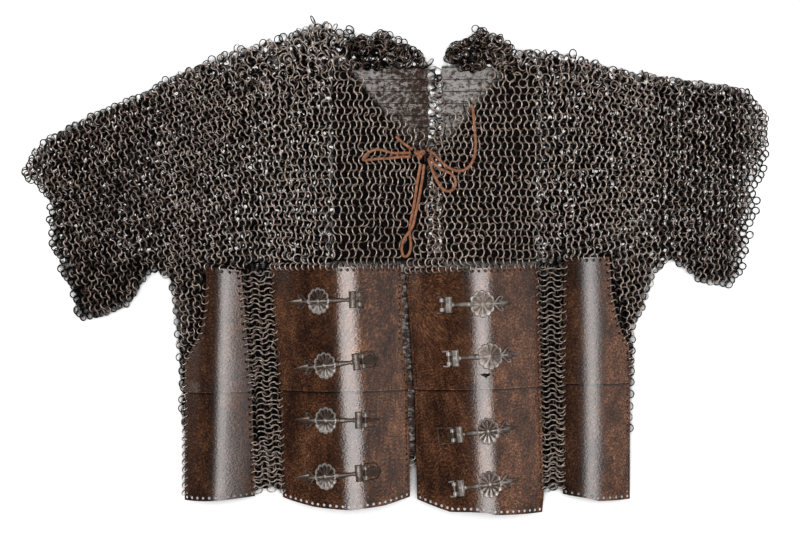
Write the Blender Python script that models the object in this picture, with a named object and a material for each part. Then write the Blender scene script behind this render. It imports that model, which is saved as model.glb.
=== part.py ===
"""Mail and plate shirt, laid on its back with the laced front upwards.

Riveted mail makes the sleeves, the chest and the strips at the sides. Four curved
iron plates, each in an upper and a lower piece, cover the belly, and two columns
of narrow overlapping lames cover the back. Eight ornamental buckles sit on the
two large plates, and a leather thong ties the slit at the neck.

Metres, +X to the right as the shirt is looked at, +Y towards the neck, +Z up from
the table. Left and right are those of someone looking at the front from above.
"""

import math

import bpy
import bmesh
from mathutils import Matrix, Vector

# Whole shirt, spread flat
SPAN = 1.022
LENGTH = 0.672
GAP = 0.0003

# Mail: thickness lying flat, hollow between front and back, and how it drapes
MAIL = 0.004
CHEST_HOLLOW = 0.008
FOLD_RUN = 0.034
RISE_RUN = 0.105
DRAPE_CELL = 0.029
FOLD_HEIGHT = 0.005
FOLD_WIDTH = 0.016
SEAM_GAP = 0.0016
COLLAR_HEIGHT = 0.017
COLLAR_WAVE = 0.031
STRIP_THICKNESS = 0.0048
STRIP_RIB = 0.0012
SLIT_GAP = 0.0040
RIM_CLEARANCE = 0.0042

# Front plates: sheet, overlap at the seam, and the pierced rims
PLATE = 0.0012
PLATE_LAP = 0.010
PLATE_LIFT = 0.0052
HOLE_RADIUS = 0.0017
RIM_INSET = 0.0042
HEM_PITCH = 0.0082
EDGE_PITCH = 0.0270
DRILL_LENGTH = 0.006

# The two large plates and the two side plates
LARGE_WIDTH = 0.190
LARGE_HEIGHT = 0.326
LARGE_RADIUS = 0.145
LARGE_FACET = 0.0165
SIDE_WIDTH = 0.100
SIDE_HEIGHT = 0.326
SIDE_RADIUS = 0.085
SIDE_FACET = 0.0125
OPENING_SHARE = 0.038
OPENING_GAP = 0.0013
STRIP_GAP_LEFT = 0.0204
STRIP_GAP_RIGHT = 0.0215
DAMAGE_WIDTH = 0.014
DAMAGE_HEIGHT = 0.007

# Back lames
LAME_WIDTH = 0.130
LAME_PITCH = 0.0165
LAME_THICKNESS = 0.0013
LAME_RISE = 0.0007
LAMES_IN_GROUP = 8
LAME_GROUPS = 4
SPINE_WIDTH = 0.018
HEM_DEPTH = 0.011
LAME_CLEARANCE = 0.0035
SPINE_SHARE = 0.107
LAMES_TOP_SHARE = 0.81

# Buckles
BASE_THICKNESS = 0.0014
ROSETTE_LENGTH = 0.031
ROSETTE_WIDTH = 0.037
ROSETTE_HEIGHT = 0.0036
ROSETTE_LOBES = 10
FINIAL_REACH = 0.043
HOOK_REACH = 0.0105
STEM_WIDTH = 0.0056
BOX_LENGTH = 0.0100
BOX_WIDTH = 0.0225
BOX_THICKNESS = 0.0029
STRAP_SHARE = 0.60
TONGUE_CLEARANCE = 0.0022
RIVET_RADIUS = 0.0020
RIVET_HEIGHT = 0.0009
KNUCKLE_RADIUS = 0.0027
KNUCKLE_WIDTH = 0.0046
BORE_RADIUS = 0.0016
BAR_RADIUS = 0.0011
BAR_HEIGHT = 0.0030
EYE_WIDTH = 0.0070
EYE_GAP = 0.0006
FRAME_WIDTH = 0.0240
FRAME_ARM = 0.0022
FRAME_THICKNESS = 0.0020
FRAME_REACH = 0.0215
TONGUE_THICKNESS = 0.0012
TONGUE_WIDTH = 0.0125

# Leather thong
THONG = 0.0044
KNOT_LENGTH = 0.017
KNOT_WIDTH = 0.015
KNOT_HEIGHT = 0.0092

# The flat picture plan of the lacing: its middle, and the metres in one step
PLAN_ACROSS = 394.6
PLAN_DOWN = 266.0
PLAN_STEP = 0.00135

HALF_SPAN = SPAN / 2
HALF_LENGTH = LENGTH / 2
FRONT_LOW = MAIL + GAP
CHEST_FLOOR = MAIL + CHEST_HOLLOW

# Outlines of the front mail, as shares of half the span and half the length: the
# neck and the slit, and the shoulder beside the neck
NECK_LEFT_SHARES = (
    (-0.15, 0.98), (-0.113, 0.88), (-0.097, 0.795), (-0.05, 0.68), (0.014, 0.595),
    (0.094, 0.54), (0.075, 0.385), (0.049, 0.215))
NECK_RIGHT_SHARES = (
    (0.215, 0.965), (0.236, 0.867), (0.247, 0.767), (0.20, 0.675), (0.146, 0.602),
    (0.104, 0.54), (0.086, 0.385), (0.059, 0.215))
SHOULDER_LEFT_SHARES = ((-0.55, 0.803), (-0.42, 0.884), (-0.297, 0.932), (-0.213, 0.994))
SHOULDER_RIGHT_SHARES = (
    (0.632, 0.795), (0.551, 0.827), (0.44, 0.859), (0.331, 0.88), (0.278, 0.928))

# Sleeves from the flank round the cuff to the top, as shares of the reach from the
# side plate's outer edge to half the span, and of half the length
SLEEVE_LEFT_SHARES = (
    (0.038, -0.385), (0.047, -0.26), (0.066, -0.14), (0.097, -0.05), (0.164, -0.02),
    (0.218, -0.016), (0.259, -0.07), (0.316, -0.133), (0.373, -0.17), (0.471, -0.205),
    (0.613, -0.23), (0.658, -0.185), (0.688, -0.104), (0.761, -0.01), (0.831, 0.104),
    (0.831, 0.245), (0.868, 0.313), (1.0, 0.37), (0.916, 0.474), (0.795, 0.534),
    (0.556, 0.614), (0.266, 0.70))
SLEEVE_RIGHT_SHARES = (
    (0.013, -0.326), (0.018, -0.241), (0.083, -0.169), (0.124, -0.104), (0.176, -0.04),
    (0.246, 0.016), (0.284, 0.028), (0.403, -0.02), (0.477, -0.056), (0.634, -0.08),
    (0.734, -0.092), (0.805, -0.016), (0.856, 0.08), (0.870, 0.165), (0.921, 0.233),
    (0.900, 0.305), (0.965, 0.378), (1.0, 0.474), (0.984, 0.594), (0.921, 0.667),
    (0.835, 0.719), (0.577, 0.739), (0.298, 0.763))
UNDERARM_POINTS = 11
CUFF_TOP_POINTS = 4

# Mail of the collar, and of the strips as shares of the gap between two plates
COLLAR_LEFT_SHARES = (
    (-0.097, 0.945), (-0.04, 0.93), (0.02, 0.915), (0.066, 0.885), (0.074, 0.822),
    (-0.097, 0.822))
COLLAR_RIGHT_SHARES = (
    (0.155, 0.915), (0.178, 0.925), (0.21, 0.955), (0.21, 0.822), (0.134, 0.822),
    (0.122, 0.835), (0.148, 0.865))
NECK_LINK_SHARES = ((0.082, 0.822), (0.127, 0.822), (0.116, 0.842), (0.082, 0.842))
BACK_NECK_SHARES = {"left": (-0.102, 0.955), "right": (0.215, 0.955)}
STRIP_LEFT_SHARES = (
    (0.06, 0.0), (0.93, 0.0), (0.94, 0.34), (0.95, 0.53), (0.93, 0.98), (0.07, 0.98),
    (0.16, 0.57), (0.11, 0.31))
STRIP_RIGHT_SHARES = (
    (0.08, 0.0), (0.93, 0.0), (0.87, 0.50), (0.92, 0.98), (0.08, 0.98), (0.12, 0.55))

# Slack folds that stand up in the sleeves and under the arms
CREASES_SHARES = (
    ((-0.90, 0.20), (-0.60, 0.10)), ((-0.80, -0.08), (-0.58, 0.22)),
    ((-0.62, 0.55), (-0.34, 0.62)), ((0.90, 0.25), (0.62, 0.18)),
    ((0.84, 0.02), (0.66, 0.20)), ((0.36, 0.62), (0.60, 0.58)))

# One front plate: height of its rim, side, the plate that it lies beyond, slant,
# bend, outlines and rims.
# Outlines run around each piece as shares of half the width and half the height.
PLATES = {
    "plate_left": {
        "rim_share": 0.0191, "side": -1, "beyond": None, "slant": 2.4, "radius": LARGE_RADIUS,
        "facet": LARGE_FACET,
        "size": (LARGE_WIDTH, LARGE_HEIGHT), "reach_share": 1.04,
        "upper_shares": ((-1.0, 0.98), (0.99, 0.93), (0.95, 0.27), (1.035, -0.09),
                         (-0.94, -0.045), (-0.955, 0.32)),
        "lower_shares": ((-0.935, -0.045), (1.03, -0.09), (0.985, -0.985),
                         (0.55, -1.03), (0.07, -1.045), (-0.45, -1.01),
                         (-0.97, -0.945)),
        "lower_hem": (2, 6), "lower_edges": ((1, 2), (6, 7)),
        "upper_edges": ((1, 2), (2, 3), (5, 6), (4, 5))},
    "plate_right": {
        "rim_share": -0.0129, "side": 1, "beyond": None, "slant": 1.9, "radius": LARGE_RADIUS,
        "facet": LARGE_FACET,
        "size": (LARGE_WIDTH, LARGE_HEIGHT), "reach_share": 1.04,
        "upper_shares": ((-1.03, 1.01), (0.99, 1.01), (0.995, 0.01), (-0.945, 0.02)),
        "lower_shares": ((-0.945, 0.02), (0.995, 0.01), (0.98, -0.91),
                         (0.94, -1.04), (0.18, -1.02), (0.08, -1.0), (-0.16, -0.99),
                         (-0.45, -0.99), (-0.97, -0.90)),
        "lower_hem": (3, 8), "lower_edges": ((1, 2), (8, 9)),
        "upper_edges": ((1, 2), (3, 4))},
    "side_plate_left": {
        "rim_share": 0.0111, "side": -1, "beyond": "plate_left", "slant": -1.5, "radius": SIDE_RADIUS,
        "facet": SIDE_FACET,
        "size": (SIDE_WIDTH, SIDE_HEIGHT), "reach_share": 1.10,
        "upper_shares": ((-0.50, 0.97), (0.48, 0.945), (0.86, -0.06),
                         (-1.06, -0.08), (-1.07, 0.17), (-0.79, 0.31),
                         (-0.56, 0.44), (-0.45, 0.65), (-0.43, 0.87)),
        "lower_shares": ((-1.055, -0.08), (0.865, -0.06), (1.07, -0.935),
                         (0.05, -0.965), (-0.97, -0.98)),
        "lower_hem": (2, 4), "lower_edges": ((1, 2), (4, 5)),
        "upper_edges": ((1, 2), (3, 4))},
    "side_plate_right": {
        "rim_share": 0.0271, "side": 1, "beyond": "plate_right", "slant": 0.5, "radius": SIDE_RADIUS,
        "facet": SIDE_FACET,
        "size": (SIDE_WIDTH, SIDE_HEIGHT), "reach_share": 1.05,
        "upper_shares": ((-0.86, 1.015), (0.36, 1.02), (0.42, 0.745), (0.52, 0.58),
                         (0.71, 0.39), (0.93, 0.29), (1.0, 0.19), (1.0, -0.03),
                         (-0.96, -0.03)),
        "lower_shares": ((-0.96, -0.03), (1.0, -0.03), (0.96, -1.0), (0.0, -1.005),
                         (-0.30, -0.98), (-0.98, -0.955)),
        "lower_hem": (2, 5), "lower_edges": ((1, 2), (5, 6)),
        "upper_edges": ((6, 7), (8, 9))},
}

# Each buckle: plate, rosette centre as shares of half the plate's size, tilt in
# degrees, reach from rosette to bar as a share of FINIAL_REACH, the kind of frame
# that is left, how much of its reach remains, and its tongue.
BUCKLES = {
    "left_1": ("plate_left", (-0.255, 0.680), 0.0, 1.25, "broken", 0.36, None),
    "left_2": ("plate_left", (-0.200, 0.150), 4.5, 1.16, "round", 1.0, "leaf"),
    "left_3": ("plate_left", (-0.225, -0.300), -2.0, 1.22, "broken", 0.78, "spike"),
    "left_4": ("plate_left", (-0.260, -0.760), 3.0, 1.24, "round", 1.0, "leaf"),
    "right_1": ("plate_right", (0.100, 0.715), 0.0, 1.24, "broken", 0.34, None),
    "right_2": ("plate_right", (0.185, 0.285), -2.0, 1.27, "rusted", 0.36, None),
    "right_3": ("plate_right", (0.120, -0.330), -5.0, 1.09, "square", 1.0, "stub"),
    "right_4": ("plate_right", (0.125, -0.765), -6.0, 1.10, "rusted", 0.30, None),
}

# Half outline of a buckle's base: shares of the finial's and the hooks' reach
FINIAL_SHARES = (
    (-1.0, 0.0), (-0.83, 0.30), (-0.72, 0.50), (-0.63, 0.22), (-0.60, 0.62),
    (-0.54, 0.95), (-0.44, 0.98), (-0.40, 0.66), (-0.48, 0.70), (-0.52, 0.50),
    (-0.42, 0.26), (-0.30, 0.42))

# The thong's runs: steps across and down the plan, and thongs above the chest
TIE_ROUTE = (
    (420.7, 164.0, 0.85), (418.9, 173.0, 0.70), (417.3, 182.0, 0.70),
    (415.8, 193.0, 0.70), (414.2, 204.0, 0.75), (412.4, 214.0, 0.85),
    (410.6, 222.0, 0.90), (409.6, 229.0, 0.90), (409.8, 236.0, 0.90),
    (411.0, 243.0, 0.90), (410.6, 249.5, 1.00), (408.4, 255.5, 1.20),
    (405.4, 258.0, 1.50), (402.6, 255.0, 1.80), (401.4, 248.5, 2.00),
    (402.8, 241.5, 2.10), (406.6, 235.0, 2.35), (411.6, 229.0, 2.20),
    (414.2, 221.0, 1.20), (415.9, 212.0, 0.80), (418.0, 203.0, 0.75),
    (420.0, 192.5, 0.70), (421.8, 182.0, 0.70), (423.2, 172.5, 0.70),
    (424.0, 164.4, 0.85))
BOW_LEFT_ROUTE = (
    (410.6, 156.8, 1.00), (404.0, 156.6, 0.75), (396.5, 157.2, 0.64),
    (386.5, 158.4, 0.64), (376.0, 158.6, 0.64), (367.5, 160.0, 0.64),
    (362.6, 160.4, 0.64), (362.2, 157.8, 0.64), (366.0, 154.4, 0.64),
    (371.4, 150.4, 0.64), (377.0, 149.2, 0.64), (384.0, 150.2, 0.64),
    (391.0, 152.6, 0.64), (398.0, 153.0, 0.64), (404.0, 152.8, 0.75),
    (410.8, 152.8, 1.00))
BOW_RIGHT_ROUTE = (
    (428.4, 158.0, 0.80), (431.0, 166.0, 0.64), (434.2, 175.0, 0.64),
    (438.4, 183.2, 0.64), (443.4, 189.8, 0.64), (449.0, 191.8, 0.64),
    (454.4, 189.0, 0.64), (456.2, 182.6, 0.64), (454.6, 176.6, 0.64),
    (450.6, 172.6, 0.64), (445.0, 170.8, 0.64), (438.0, 167.2, 0.64),
    (433.8, 162.6, 0.64), (429.4, 155.6, 0.80))
END_SHORT_ROUTE = (
    (412.6, 149.2, 1.00), (408.6, 146.8, 0.80), (403.2, 142.8, 0.66),
    (399.4, 139.6, 0.64), (396.0, 136.2, 0.64))
END_LONG_ROUTE = (
    (427.0, 149.4, 1.20), (433.0, 152.6, 1.10), (438.0, 158.0, 1.10),
    (443.0, 163.4, 1.30), (449.0, 168.0, 1.55), (455.5, 170.8, 1.35),
    (462.0, 171.0, 0.80), (468.0, 168.0, 0.64), (472.4, 162.0, 0.64),
    (475.2, 154.0, 0.64), (475.8, 145.5, 0.64), (475.6, 137.0, 0.64),
    (474.8, 128.5, 0.64), (474.0, 120.0, 0.64), (473.4, 112.0, 0.64),
    (473.0, 106.0, 0.64))
KNOT_PLACE = (419.6, 154.0, 1.25)


def clear_scene():
    for thing in list(bpy.data.objects):
        bpy.data.objects.remove(thing, do_unlink=True)


def new_collection(name):
    group = bpy.data.collections.new(name)
    bpy.context.scene.collection.children.link(group)
    return group


def new_material(name, colour, roughness, metallic):
    finish = bpy.data.materials.new(name)
    finish.use_nodes = True
    shader = finish.node_tree.nodes["Principled BSDF"]
    shader.inputs["Base Color"].default_value = (*colour, 1.0)
    shader.inputs["Roughness"].default_value = roughness
    shader.inputs["Metallic"].default_value = metallic
    finish.diffuse_color = (*colour, 1.0)
    return finish


clear_scene()
SHIRT = new_collection("mail_and_plate_shirt")
TOOLS = new_collection("cutters")
MAIL_IRON = new_material("mail_iron", (0.10, 0.085, 0.075), 0.45, 0.9)
PLATE_IRON = new_material("plate_iron", (0.16, 0.10, 0.075), 0.42, 0.8)
BUCKLE_IRON = new_material("buckle_iron", (0.30, 0.25, 0.22), 0.38, 0.9)
LAME_IRON = new_material("lame_iron", (0.30, 0.28, 0.26), 0.5, 0.7)
LEATHER = new_material("thong_leather", (0.55, 0.28, 0.15), 0.65, 0.0)


# Shared shaping steps

def tidy(shape):
    bmesh.ops.remove_doubles(shape, verts=shape.verts, dist=GAP / 30)
    bmesh.ops.recalc_face_normals(shape, faces=shape.faces)


def outline_solid(points, thickness):
    """A closed flat plate from an outline, centred on its own middle plane."""
    curve = bpy.data.curves.new("outline", "CURVE")
    curve.dimensions = "2D"
    curve.fill_mode = "BOTH"
    curve.extrude = thickness / 2
    spline = curve.splines.new("POLY")
    spline.points.add(len(points) - 1)
    for spot, (x, y) in zip(spline.points, points):
        spot.co = (x, y, 0, 1)
    spline.use_cyclic_u = True
    holder = bpy.data.objects.new("outline", curve)
    TOOLS.objects.link(holder)
    bpy.context.view_layer.update()
    ready = holder.evaluated_get(bpy.context.evaluated_depsgraph_get())
    shape = bmesh.new()
    flat = ready.to_mesh()
    shape.from_mesh(flat)
    ready.to_mesh_clear()
    bpy.data.objects.remove(holder)
    bpy.data.curves.remove(curve)
    tidy(shape)
    return shape


def slice_shape(shape, axis, places):
    """Cut every face along planes square to an axis, so that it can be bent."""
    normal = Vector((0, 0, 0))
    normal[axis] = 1
    for place in places:
        bmesh.ops.bisect_plane(
            shape, geom=shape.verts[:] + shape.edges[:] + shape.faces[:],
            plane_co=normal * place, plane_no=normal, dist=GAP / 30)


def make_object(name, shape, finish, smooth_angle=35.0, place=None):
    bmesh.ops.triangulate(shape, faces=shape.faces)
    mesh = bpy.data.meshes.new(name)
    shape.to_mesh(mesh)
    shape.free()
    mesh.materials.append(finish)
    mesh.shade_smooth()
    mesh.set_sharp_from_angle(angle=math.radians(smooth_angle))
    piece = bpy.data.objects.new(name, mesh)
    SHIRT.objects.link(piece)
    if place is not None:
        piece.matrix_world = place
    return piece


def combine(shape, other, operation):
    """The exact union or difference of two closed shapes, as a new shape."""
    holders = []
    for name, source in (("body", shape), ("tool", other)):
        mesh = bpy.data.meshes.new(name)
        source.to_mesh(mesh)
        source.free()
        holder = bpy.data.objects.new(name, mesh)
        TOOLS.objects.link(holder)
        holders.append(holder)
    joiner = holders[0].modifiers.new("join", "BOOLEAN")
    joiner.operation = operation
    joiner.solver = "EXACT"
    joiner.object = holders[1]
    bpy.context.view_layer.update()
    ready = holders[0].evaluated_get(bpy.context.evaluated_depsgraph_get())
    result = bmesh.new()
    joined = ready.to_mesh()
    result.from_mesh(joined)
    ready.to_mesh_clear()
    for holder in holders:
        mesh = holder.data
        bpy.data.objects.remove(holder)
        bpy.data.meshes.remove(mesh)
    return result


def cylinder(radius, length, sides, axis="Z", centre=(0, 0, 0), top_radius=None):
    turn = {"Z": Matrix.Identity(4), "Y": Matrix.Rotation(math.pi / 2, 4, "X"),
            "X": Matrix.Rotation(math.pi / 2, 4, "Y")}[axis]
    shape = bmesh.new()
    bmesh.ops.create_cone(
        shape, cap_ends=True, segments=sides, radius1=radius,
        radius2=radius if top_radius is None else top_radius, depth=length,
        matrix=Matrix.Translation(centre) @ turn)
    return shape


def block(size, centre):
    shape = bmesh.new()
    bmesh.ops.create_cube(
        shape, size=1, matrix=Matrix.Translation(centre) @ Matrix.Diagonal((*size, 1)))
    return shape


def smooth_share(share):
    share = min(max(share, 0.0), 1.0)
    return share * share * (3 - 2 * share)


# Bent plates

def edge_angle(plate):
    return plate["size"][0] / 2 * plate["reach_share"] / plate["radius"]


def half_chord(plate):
    return plate["radius"] * math.sin(edge_angle(plate))


def plate_centre(plate):
    """The large plates flank the opening, and the side plates lie beyond the strips."""
    across = OPENING_SHARE * HALF_SPAN
    across += plate["side"] * (OPENING_GAP / 2 + half_chord(plate))
    if plate["beyond"]:
        gap = STRIP_GAP_LEFT if plate["side"] < 0 else STRIP_GAP_RIGHT
        across += plate["side"] * (2 * half_chord(PLATES[plate["beyond"]]) + gap)
    return Vector((across, plate["rim_share"] * HALF_LENGTH - plate["size"][1] / 2, 0))


def wrap(plate, across, along, height):
    """Place a point of a flat layout on the bent plate, height above its inside."""
    radius = plate["radius"]
    under = radius - PLATE - GAP
    angle = across / radius
    bent = Vector(((radius + height) * math.sin(angle), along,
                   (radius + height) * math.cos(angle)
                   - under * math.cos(edge_angle(plate)) + PLATE_LIFT))
    turn = Matrix.Rotation(math.radians(plate["slant"]), 3, "Z")
    return plate_centre(plate) + turn @ bent


def facet_places(plate):
    half = plate["size"][0] / 2 * plate["reach_share"]
    count = round(2 * half / plate["facet"])
    return [half * (2 * step / count - 1) for step in range(1, count)]


def outline_points(plate, shares):
    half_width, half_height = plate["size"][0] / 2, plate["size"][1] / 2
    return [(x * half_width, y * half_height) for x, y in shares]


def rim_holes(points, first, last, pitch, trim_first=0.0, trim_last=0.0):
    """Evenly spaced places inside the edges of an outline, from corner to corner."""
    corners = [Vector(points[step % len(points)]) for step in range(first, last + 1)]
    lengths = [(b - a).length for a, b in zip(corners, corners[1:])]
    start, stop = RIM_INSET + trim_first, sum(lengths) - RIM_INSET - trim_last
    count = max(int((stop - start) / pitch), 1)
    places = []
    for step in range(count + 1):
        run = start + (stop - start) * step / count
        for (a, b), length in zip(zip(corners, corners[1:]), lengths):
            if run <= length or b is corners[-1]:
                along = (b - a).normalized()
                inward = Vector((along.y, -along.x)) * RIM_INSET
                places.append(a + along * run + inward)
                break
            run -= length
    return places


def plate_piece(name, plate, shares, height, rows, cuts=()):
    """One bent sheet with its drilled rims. Outlines run clockwise from top left."""
    points = outline_points(plate, shares)
    sheet = outline_solid(points, PLATE)
    slice_shape(sheet, 0, facet_places(plate))
    for vert in sheet.verts:
        vert.co = wrap(plate, vert.co.x, vert.co.y, height + PLATE / 2 + vert.co.z)
    places = []
    for first, last, pitch, trims in rows:
        places += rim_holes(points, first, last, pitch, *trims)
    drills = bmesh.new()
    for across, along in places:
        drill = cylinder(HOLE_RADIUS, DRILL_LENGTH, 5)
        for vert in drill.verts:
            vert.co = wrap(plate, across + vert.co.x, along + vert.co.y,
                           height + PLATE / 2 + vert.co.z)
        copy = bpy.data.meshes.new("drill")
        drill.to_mesh(copy)
        drill.free()
        drills.from_mesh(copy)
        bpy.data.meshes.remove(copy)
    sheet = combine(sheet, drills, "DIFFERENCE")
    for cut_points in cuts:
        cut = outline_solid(cut_points, DRILL_LENGTH)
        for vert in cut.verts:
            vert.co = wrap(plate, vert.co.x, vert.co.y,
                           height + PLATE / 2 + vert.co.z)
        sheet = combine(sheet, cut, "DIFFERENCE")
    make_object(name, sheet, PLATE_IRON)


def damage_outline(plate):
    """The ragged rust hole beside the second buckle of the right plate."""
    centre = (0.16 * plate["size"][0] / 2, 0.132 * plate["size"][1] / 2)
    ragged_shares = ((-0.5, 0.35), (-0.15, 0.5), (0.2, 0.38), (0.5, 0.48),
                     (0.42, 0.0), (0.18, -0.12), (0.06, -0.5), (-0.16, -0.1))
    return [(centre[0] + x * DAMAGE_WIDTH, centre[1] + y * DAMAGE_HEIGHT)
            for x, y in ragged_shares]


def front_plates():
    for name, plate in PLATES.items():
        lap = PLATE_LAP / (plate["size"][1] / 2)
        upper = plate["upper_shares"]
        lower = [(x, y + lap) if step < 2 else (x, y)
                 for step, (x, y) in enumerate(plate["lower_shares"])]
        corner = HEM_PITCH
        upper_rows = [(0, 1, HEM_PITCH, (0, 0))]
        for first, last in plate["upper_edges"]:
            upper_rows.append((first, last, EDGE_PITCH, (corner, corner)))
        lower_rows = [(*plate["lower_hem"], HEM_PITCH, (0, 0))]
        for first, last in plate["lower_edges"]:
            lower_rows.append((first, last, EDGE_PITCH, (corner, corner)))
        cuts = [damage_outline(plate)] if name == "plate_right" else []
        plate_piece(name + "_upper", plate, upper, 0, upper_rows, cuts)
        plate_piece(name + "_lower", plate, lower, -(PLATE + GAP), lower_rows)


# Buckles

def mirrored_outline(half):
    """Both halves of an outline that starts and ends on its own centre line."""
    other = [(x, -y) for x, y in reversed(half) if abs(y) > 0]
    return list(half) + other


def base_outline(bar):
    """Spear finial, two curled hooks, stem, strap box and the two knuckle tabs."""
    box_end = bar - KNUCKLE_RADIUS - EYE_GAP
    box_start = box_end - BOX_LENGTH
    tab_inner = EYE_WIDTH / 2 + EYE_GAP
    tab_outer = tab_inner + KNUCKLE_WIDTH
    half = [(x * FINIAL_REACH, y * HOOK_REACH) for x, y in FINIAL_SHARES]
    half += [(0, STEM_WIDTH * 0.45), (ROSETTE_LENGTH / 2, STEM_WIDTH * 0.42),
             (box_start - STEM_WIDTH / 2, STEM_WIDTH / 2),
             (box_start, BOX_WIDTH * 0.36), (box_start + BOX_LENGTH * 0.25, BOX_WIDTH / 2),
             (box_end, BOX_WIDTH / 2), (box_end, tab_outer), (bar, tab_outer),
             (bar, tab_inner), (box_end, tab_inner)]
    return mirrored_outline(half)


def rosette():
    """A low dome whose rim is scalloped into lobes, with a groove between each."""
    sides = 2 * ROSETTE_LOBES
    inner_share = 0.42
    shape = cylinder(1, 1, sides, top_radius=inner_share)
    top = [face for face in shape.faces if face.normal.z > 0.9]
    bmesh.ops.poke(shape, faces=top)
    for vert in shape.verts:
        radius = math.hypot(vert.co.x, vert.co.y)
        angle = math.atan2(vert.co.y, vert.co.x)
        lobe = math.cos(ROSETTE_LOBES * angle)
        scallop = 1 + 0.05 * lobe
        lift = BASE_THICKNESS / 2
        if vert.co.z > 0:
            lift = ROSETTE_HEIGHT * (1.0 if radius < inner_share / 2 else 0.80 + 0.12 * lobe)
        vert.co = Vector((vert.co.x * scallop * ROSETTE_LENGTH / 2,
                          vert.co.y * scallop * ROSETTE_WIDTH / 2, lift))
    return shape


def buckle_base(name, plate, centre, tilt, bar, height, fused_remains):
    """Everything of a buckle that is riveted down, bent to the plate's curve."""
    side = -1 if "right" in name else 1
    shape = outline_solid(base_outline(bar), BASE_THICKNESS)
    bmesh.ops.translate(shape, verts=shape.verts, vec=(0, 0, BASE_THICKNESS / 2))
    shape = combine(shape, rosette(), "UNION")
    box_end = bar - KNUCKLE_RADIUS - EYE_GAP
    box_middle = box_end - BOX_LENGTH / 2
    strap = block((BOX_LENGTH * STRAP_SHARE, BOX_WIDTH * 0.94,
                   BOX_THICKNESS - BASE_THICKNESS / 2),
                  (box_end - TONGUE_CLEARANCE - BOX_LENGTH * STRAP_SHARE / 2, 0,
                   (BOX_THICKNESS + BASE_THICKNESS / 2) / 2))
    shape = combine(shape, strap, "UNION")
    rivet = cylinder(RIVET_RADIUS, RIVET_HEIGHT * 2, 6, top_radius=RIVET_RADIUS * 0.55,
                     centre=(box_middle, 0, BOX_THICKNESS))
    shape = combine(shape, rivet, "UNION")
    reach = EYE_WIDTH / 2 + EYE_GAP + KNUCKLE_WIDTH / 2
    for place in (-reach, reach):
        knuckle = cylinder(KNUCKLE_RADIUS, KNUCKLE_WIDTH, 6, "Y", (bar, place, BAR_HEIGHT))
        shape = combine(shape, knuckle, "UNION")
    if fused_remains:
        rod = cylinder(BAR_RADIUS, FRAME_WIDTH * 0.92, 8, "Y", (bar, 0, BAR_HEIGHT))
        shape = combine(shape, rod, "UNION")
        for place in (-1, 1):
            prong = block((FRAME_REACH * fused_remains, FRAME_ARM, FRAME_THICKNESS),
                          (bar + FRAME_REACH * fused_remains / 2 - BAR_RADIUS / 2,
                           place * (FRAME_WIDTH * 0.92 - FRAME_ARM) / 2,
                           BAR_HEIGHT - FRAME_THICKNESS * 0.1))
            shape = combine(shape, prong, "UNION")
    else:
        bore = cylinder(BORE_RADIUS, BOX_WIDTH * 1.2, 6, "Y", (bar, 0, BAR_HEIGHT))
        shape = combine(shape, bore, "DIFFERENCE")
    turn = math.radians(tilt)
    for vert in shape.verts:
        x, y, z = vert.co
        vert.co = (centre[0] + side * (x * math.cos(turn)) - y * math.sin(turn) * side,
                   centre[1] + x * math.sin(turn) + y * math.cos(turn), height + z)
    slice_shape(shape, 0, facet_places(plate))
    for vert in shape.verts:
        vert.co = wrap(plate, *vert.co)
    bmesh.ops.recalc_face_normals(shape, faces=shape.faces)
    make_object("buckle_" + name, shape, BUCKLE_IRON)


def arc(centre, radii, start, stop, steps):
    return [(centre[0] + radii[0] * math.cos(math.radians(start + (stop - start) * k / steps)),
             centre[1] + radii[1] * math.sin(math.radians(start + (stop - start) * k / steps)))
            for k in range(steps + 1)]


def frame_shape(kind, reach):
    """A buckle frame with its hinge bar along Y through the local origin."""
    half = FRAME_WIDTH / 2
    inner = half - FRAME_ARM
    heel = -BAR_RADIUS * 0.9
    if kind == "round":
        shoulder = reach - half * 0.62
        outer = arc((shoulder, 0), (reach - shoulder, half), 90, -90, 8)
        window = arc((shoulder, 0), (reach - shoulder - FRAME_ARM, inner), -90, 90, 8)
        points = [(heel, half)] + outer + [(heel, -half), (heel, -inner)]
        points += window + [(heel, inner)]
        shape = outline_solid(points, FRAME_THICKNESS)
    elif kind == "square":
        end_bar = FRAME_ARM * 0.6
        flare = half * 1.04
        points = [(heel, half * 0.94), (reach * 0.45, half * 0.94), (reach, flare),
                  (reach, -flare), (reach * 0.45, -half * 0.94), (heel, -half * 0.94),
                  (heel, -inner), (reach * 0.45, -inner * 0.97), (reach - end_bar, -inner),
                  (reach - end_bar, inner), (reach * 0.45, inner * 0.97), (heel, inner)]
        shape = outline_solid(points, FRAME_THICKNESS)
    else:
        lengths = (reach, reach * 0.86)
        prongs = []
        for side, length in zip((1, -1), lengths):
            points = [(heel, side * inner), (length * 0.7, side * inner),
                      (length, side * (inner + FRAME_ARM * 0.7)),
                      (length * 0.8, side * half), (heel, side * half)]
            prongs.append(outline_solid(points, FRAME_THICKNESS))
        shape = prongs[0]
        bar = cylinder(BAR_RADIUS, FRAME_WIDTH - FRAME_ARM, 8, "Y")
        shape = combine(shape, bar, "UNION")
        return combine(shape, prongs[1], "UNION")
    bar = cylinder(BAR_RADIUS, FRAME_WIDTH - FRAME_ARM, 8, "Y")
    return combine(shape, bar, "UNION")


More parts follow.
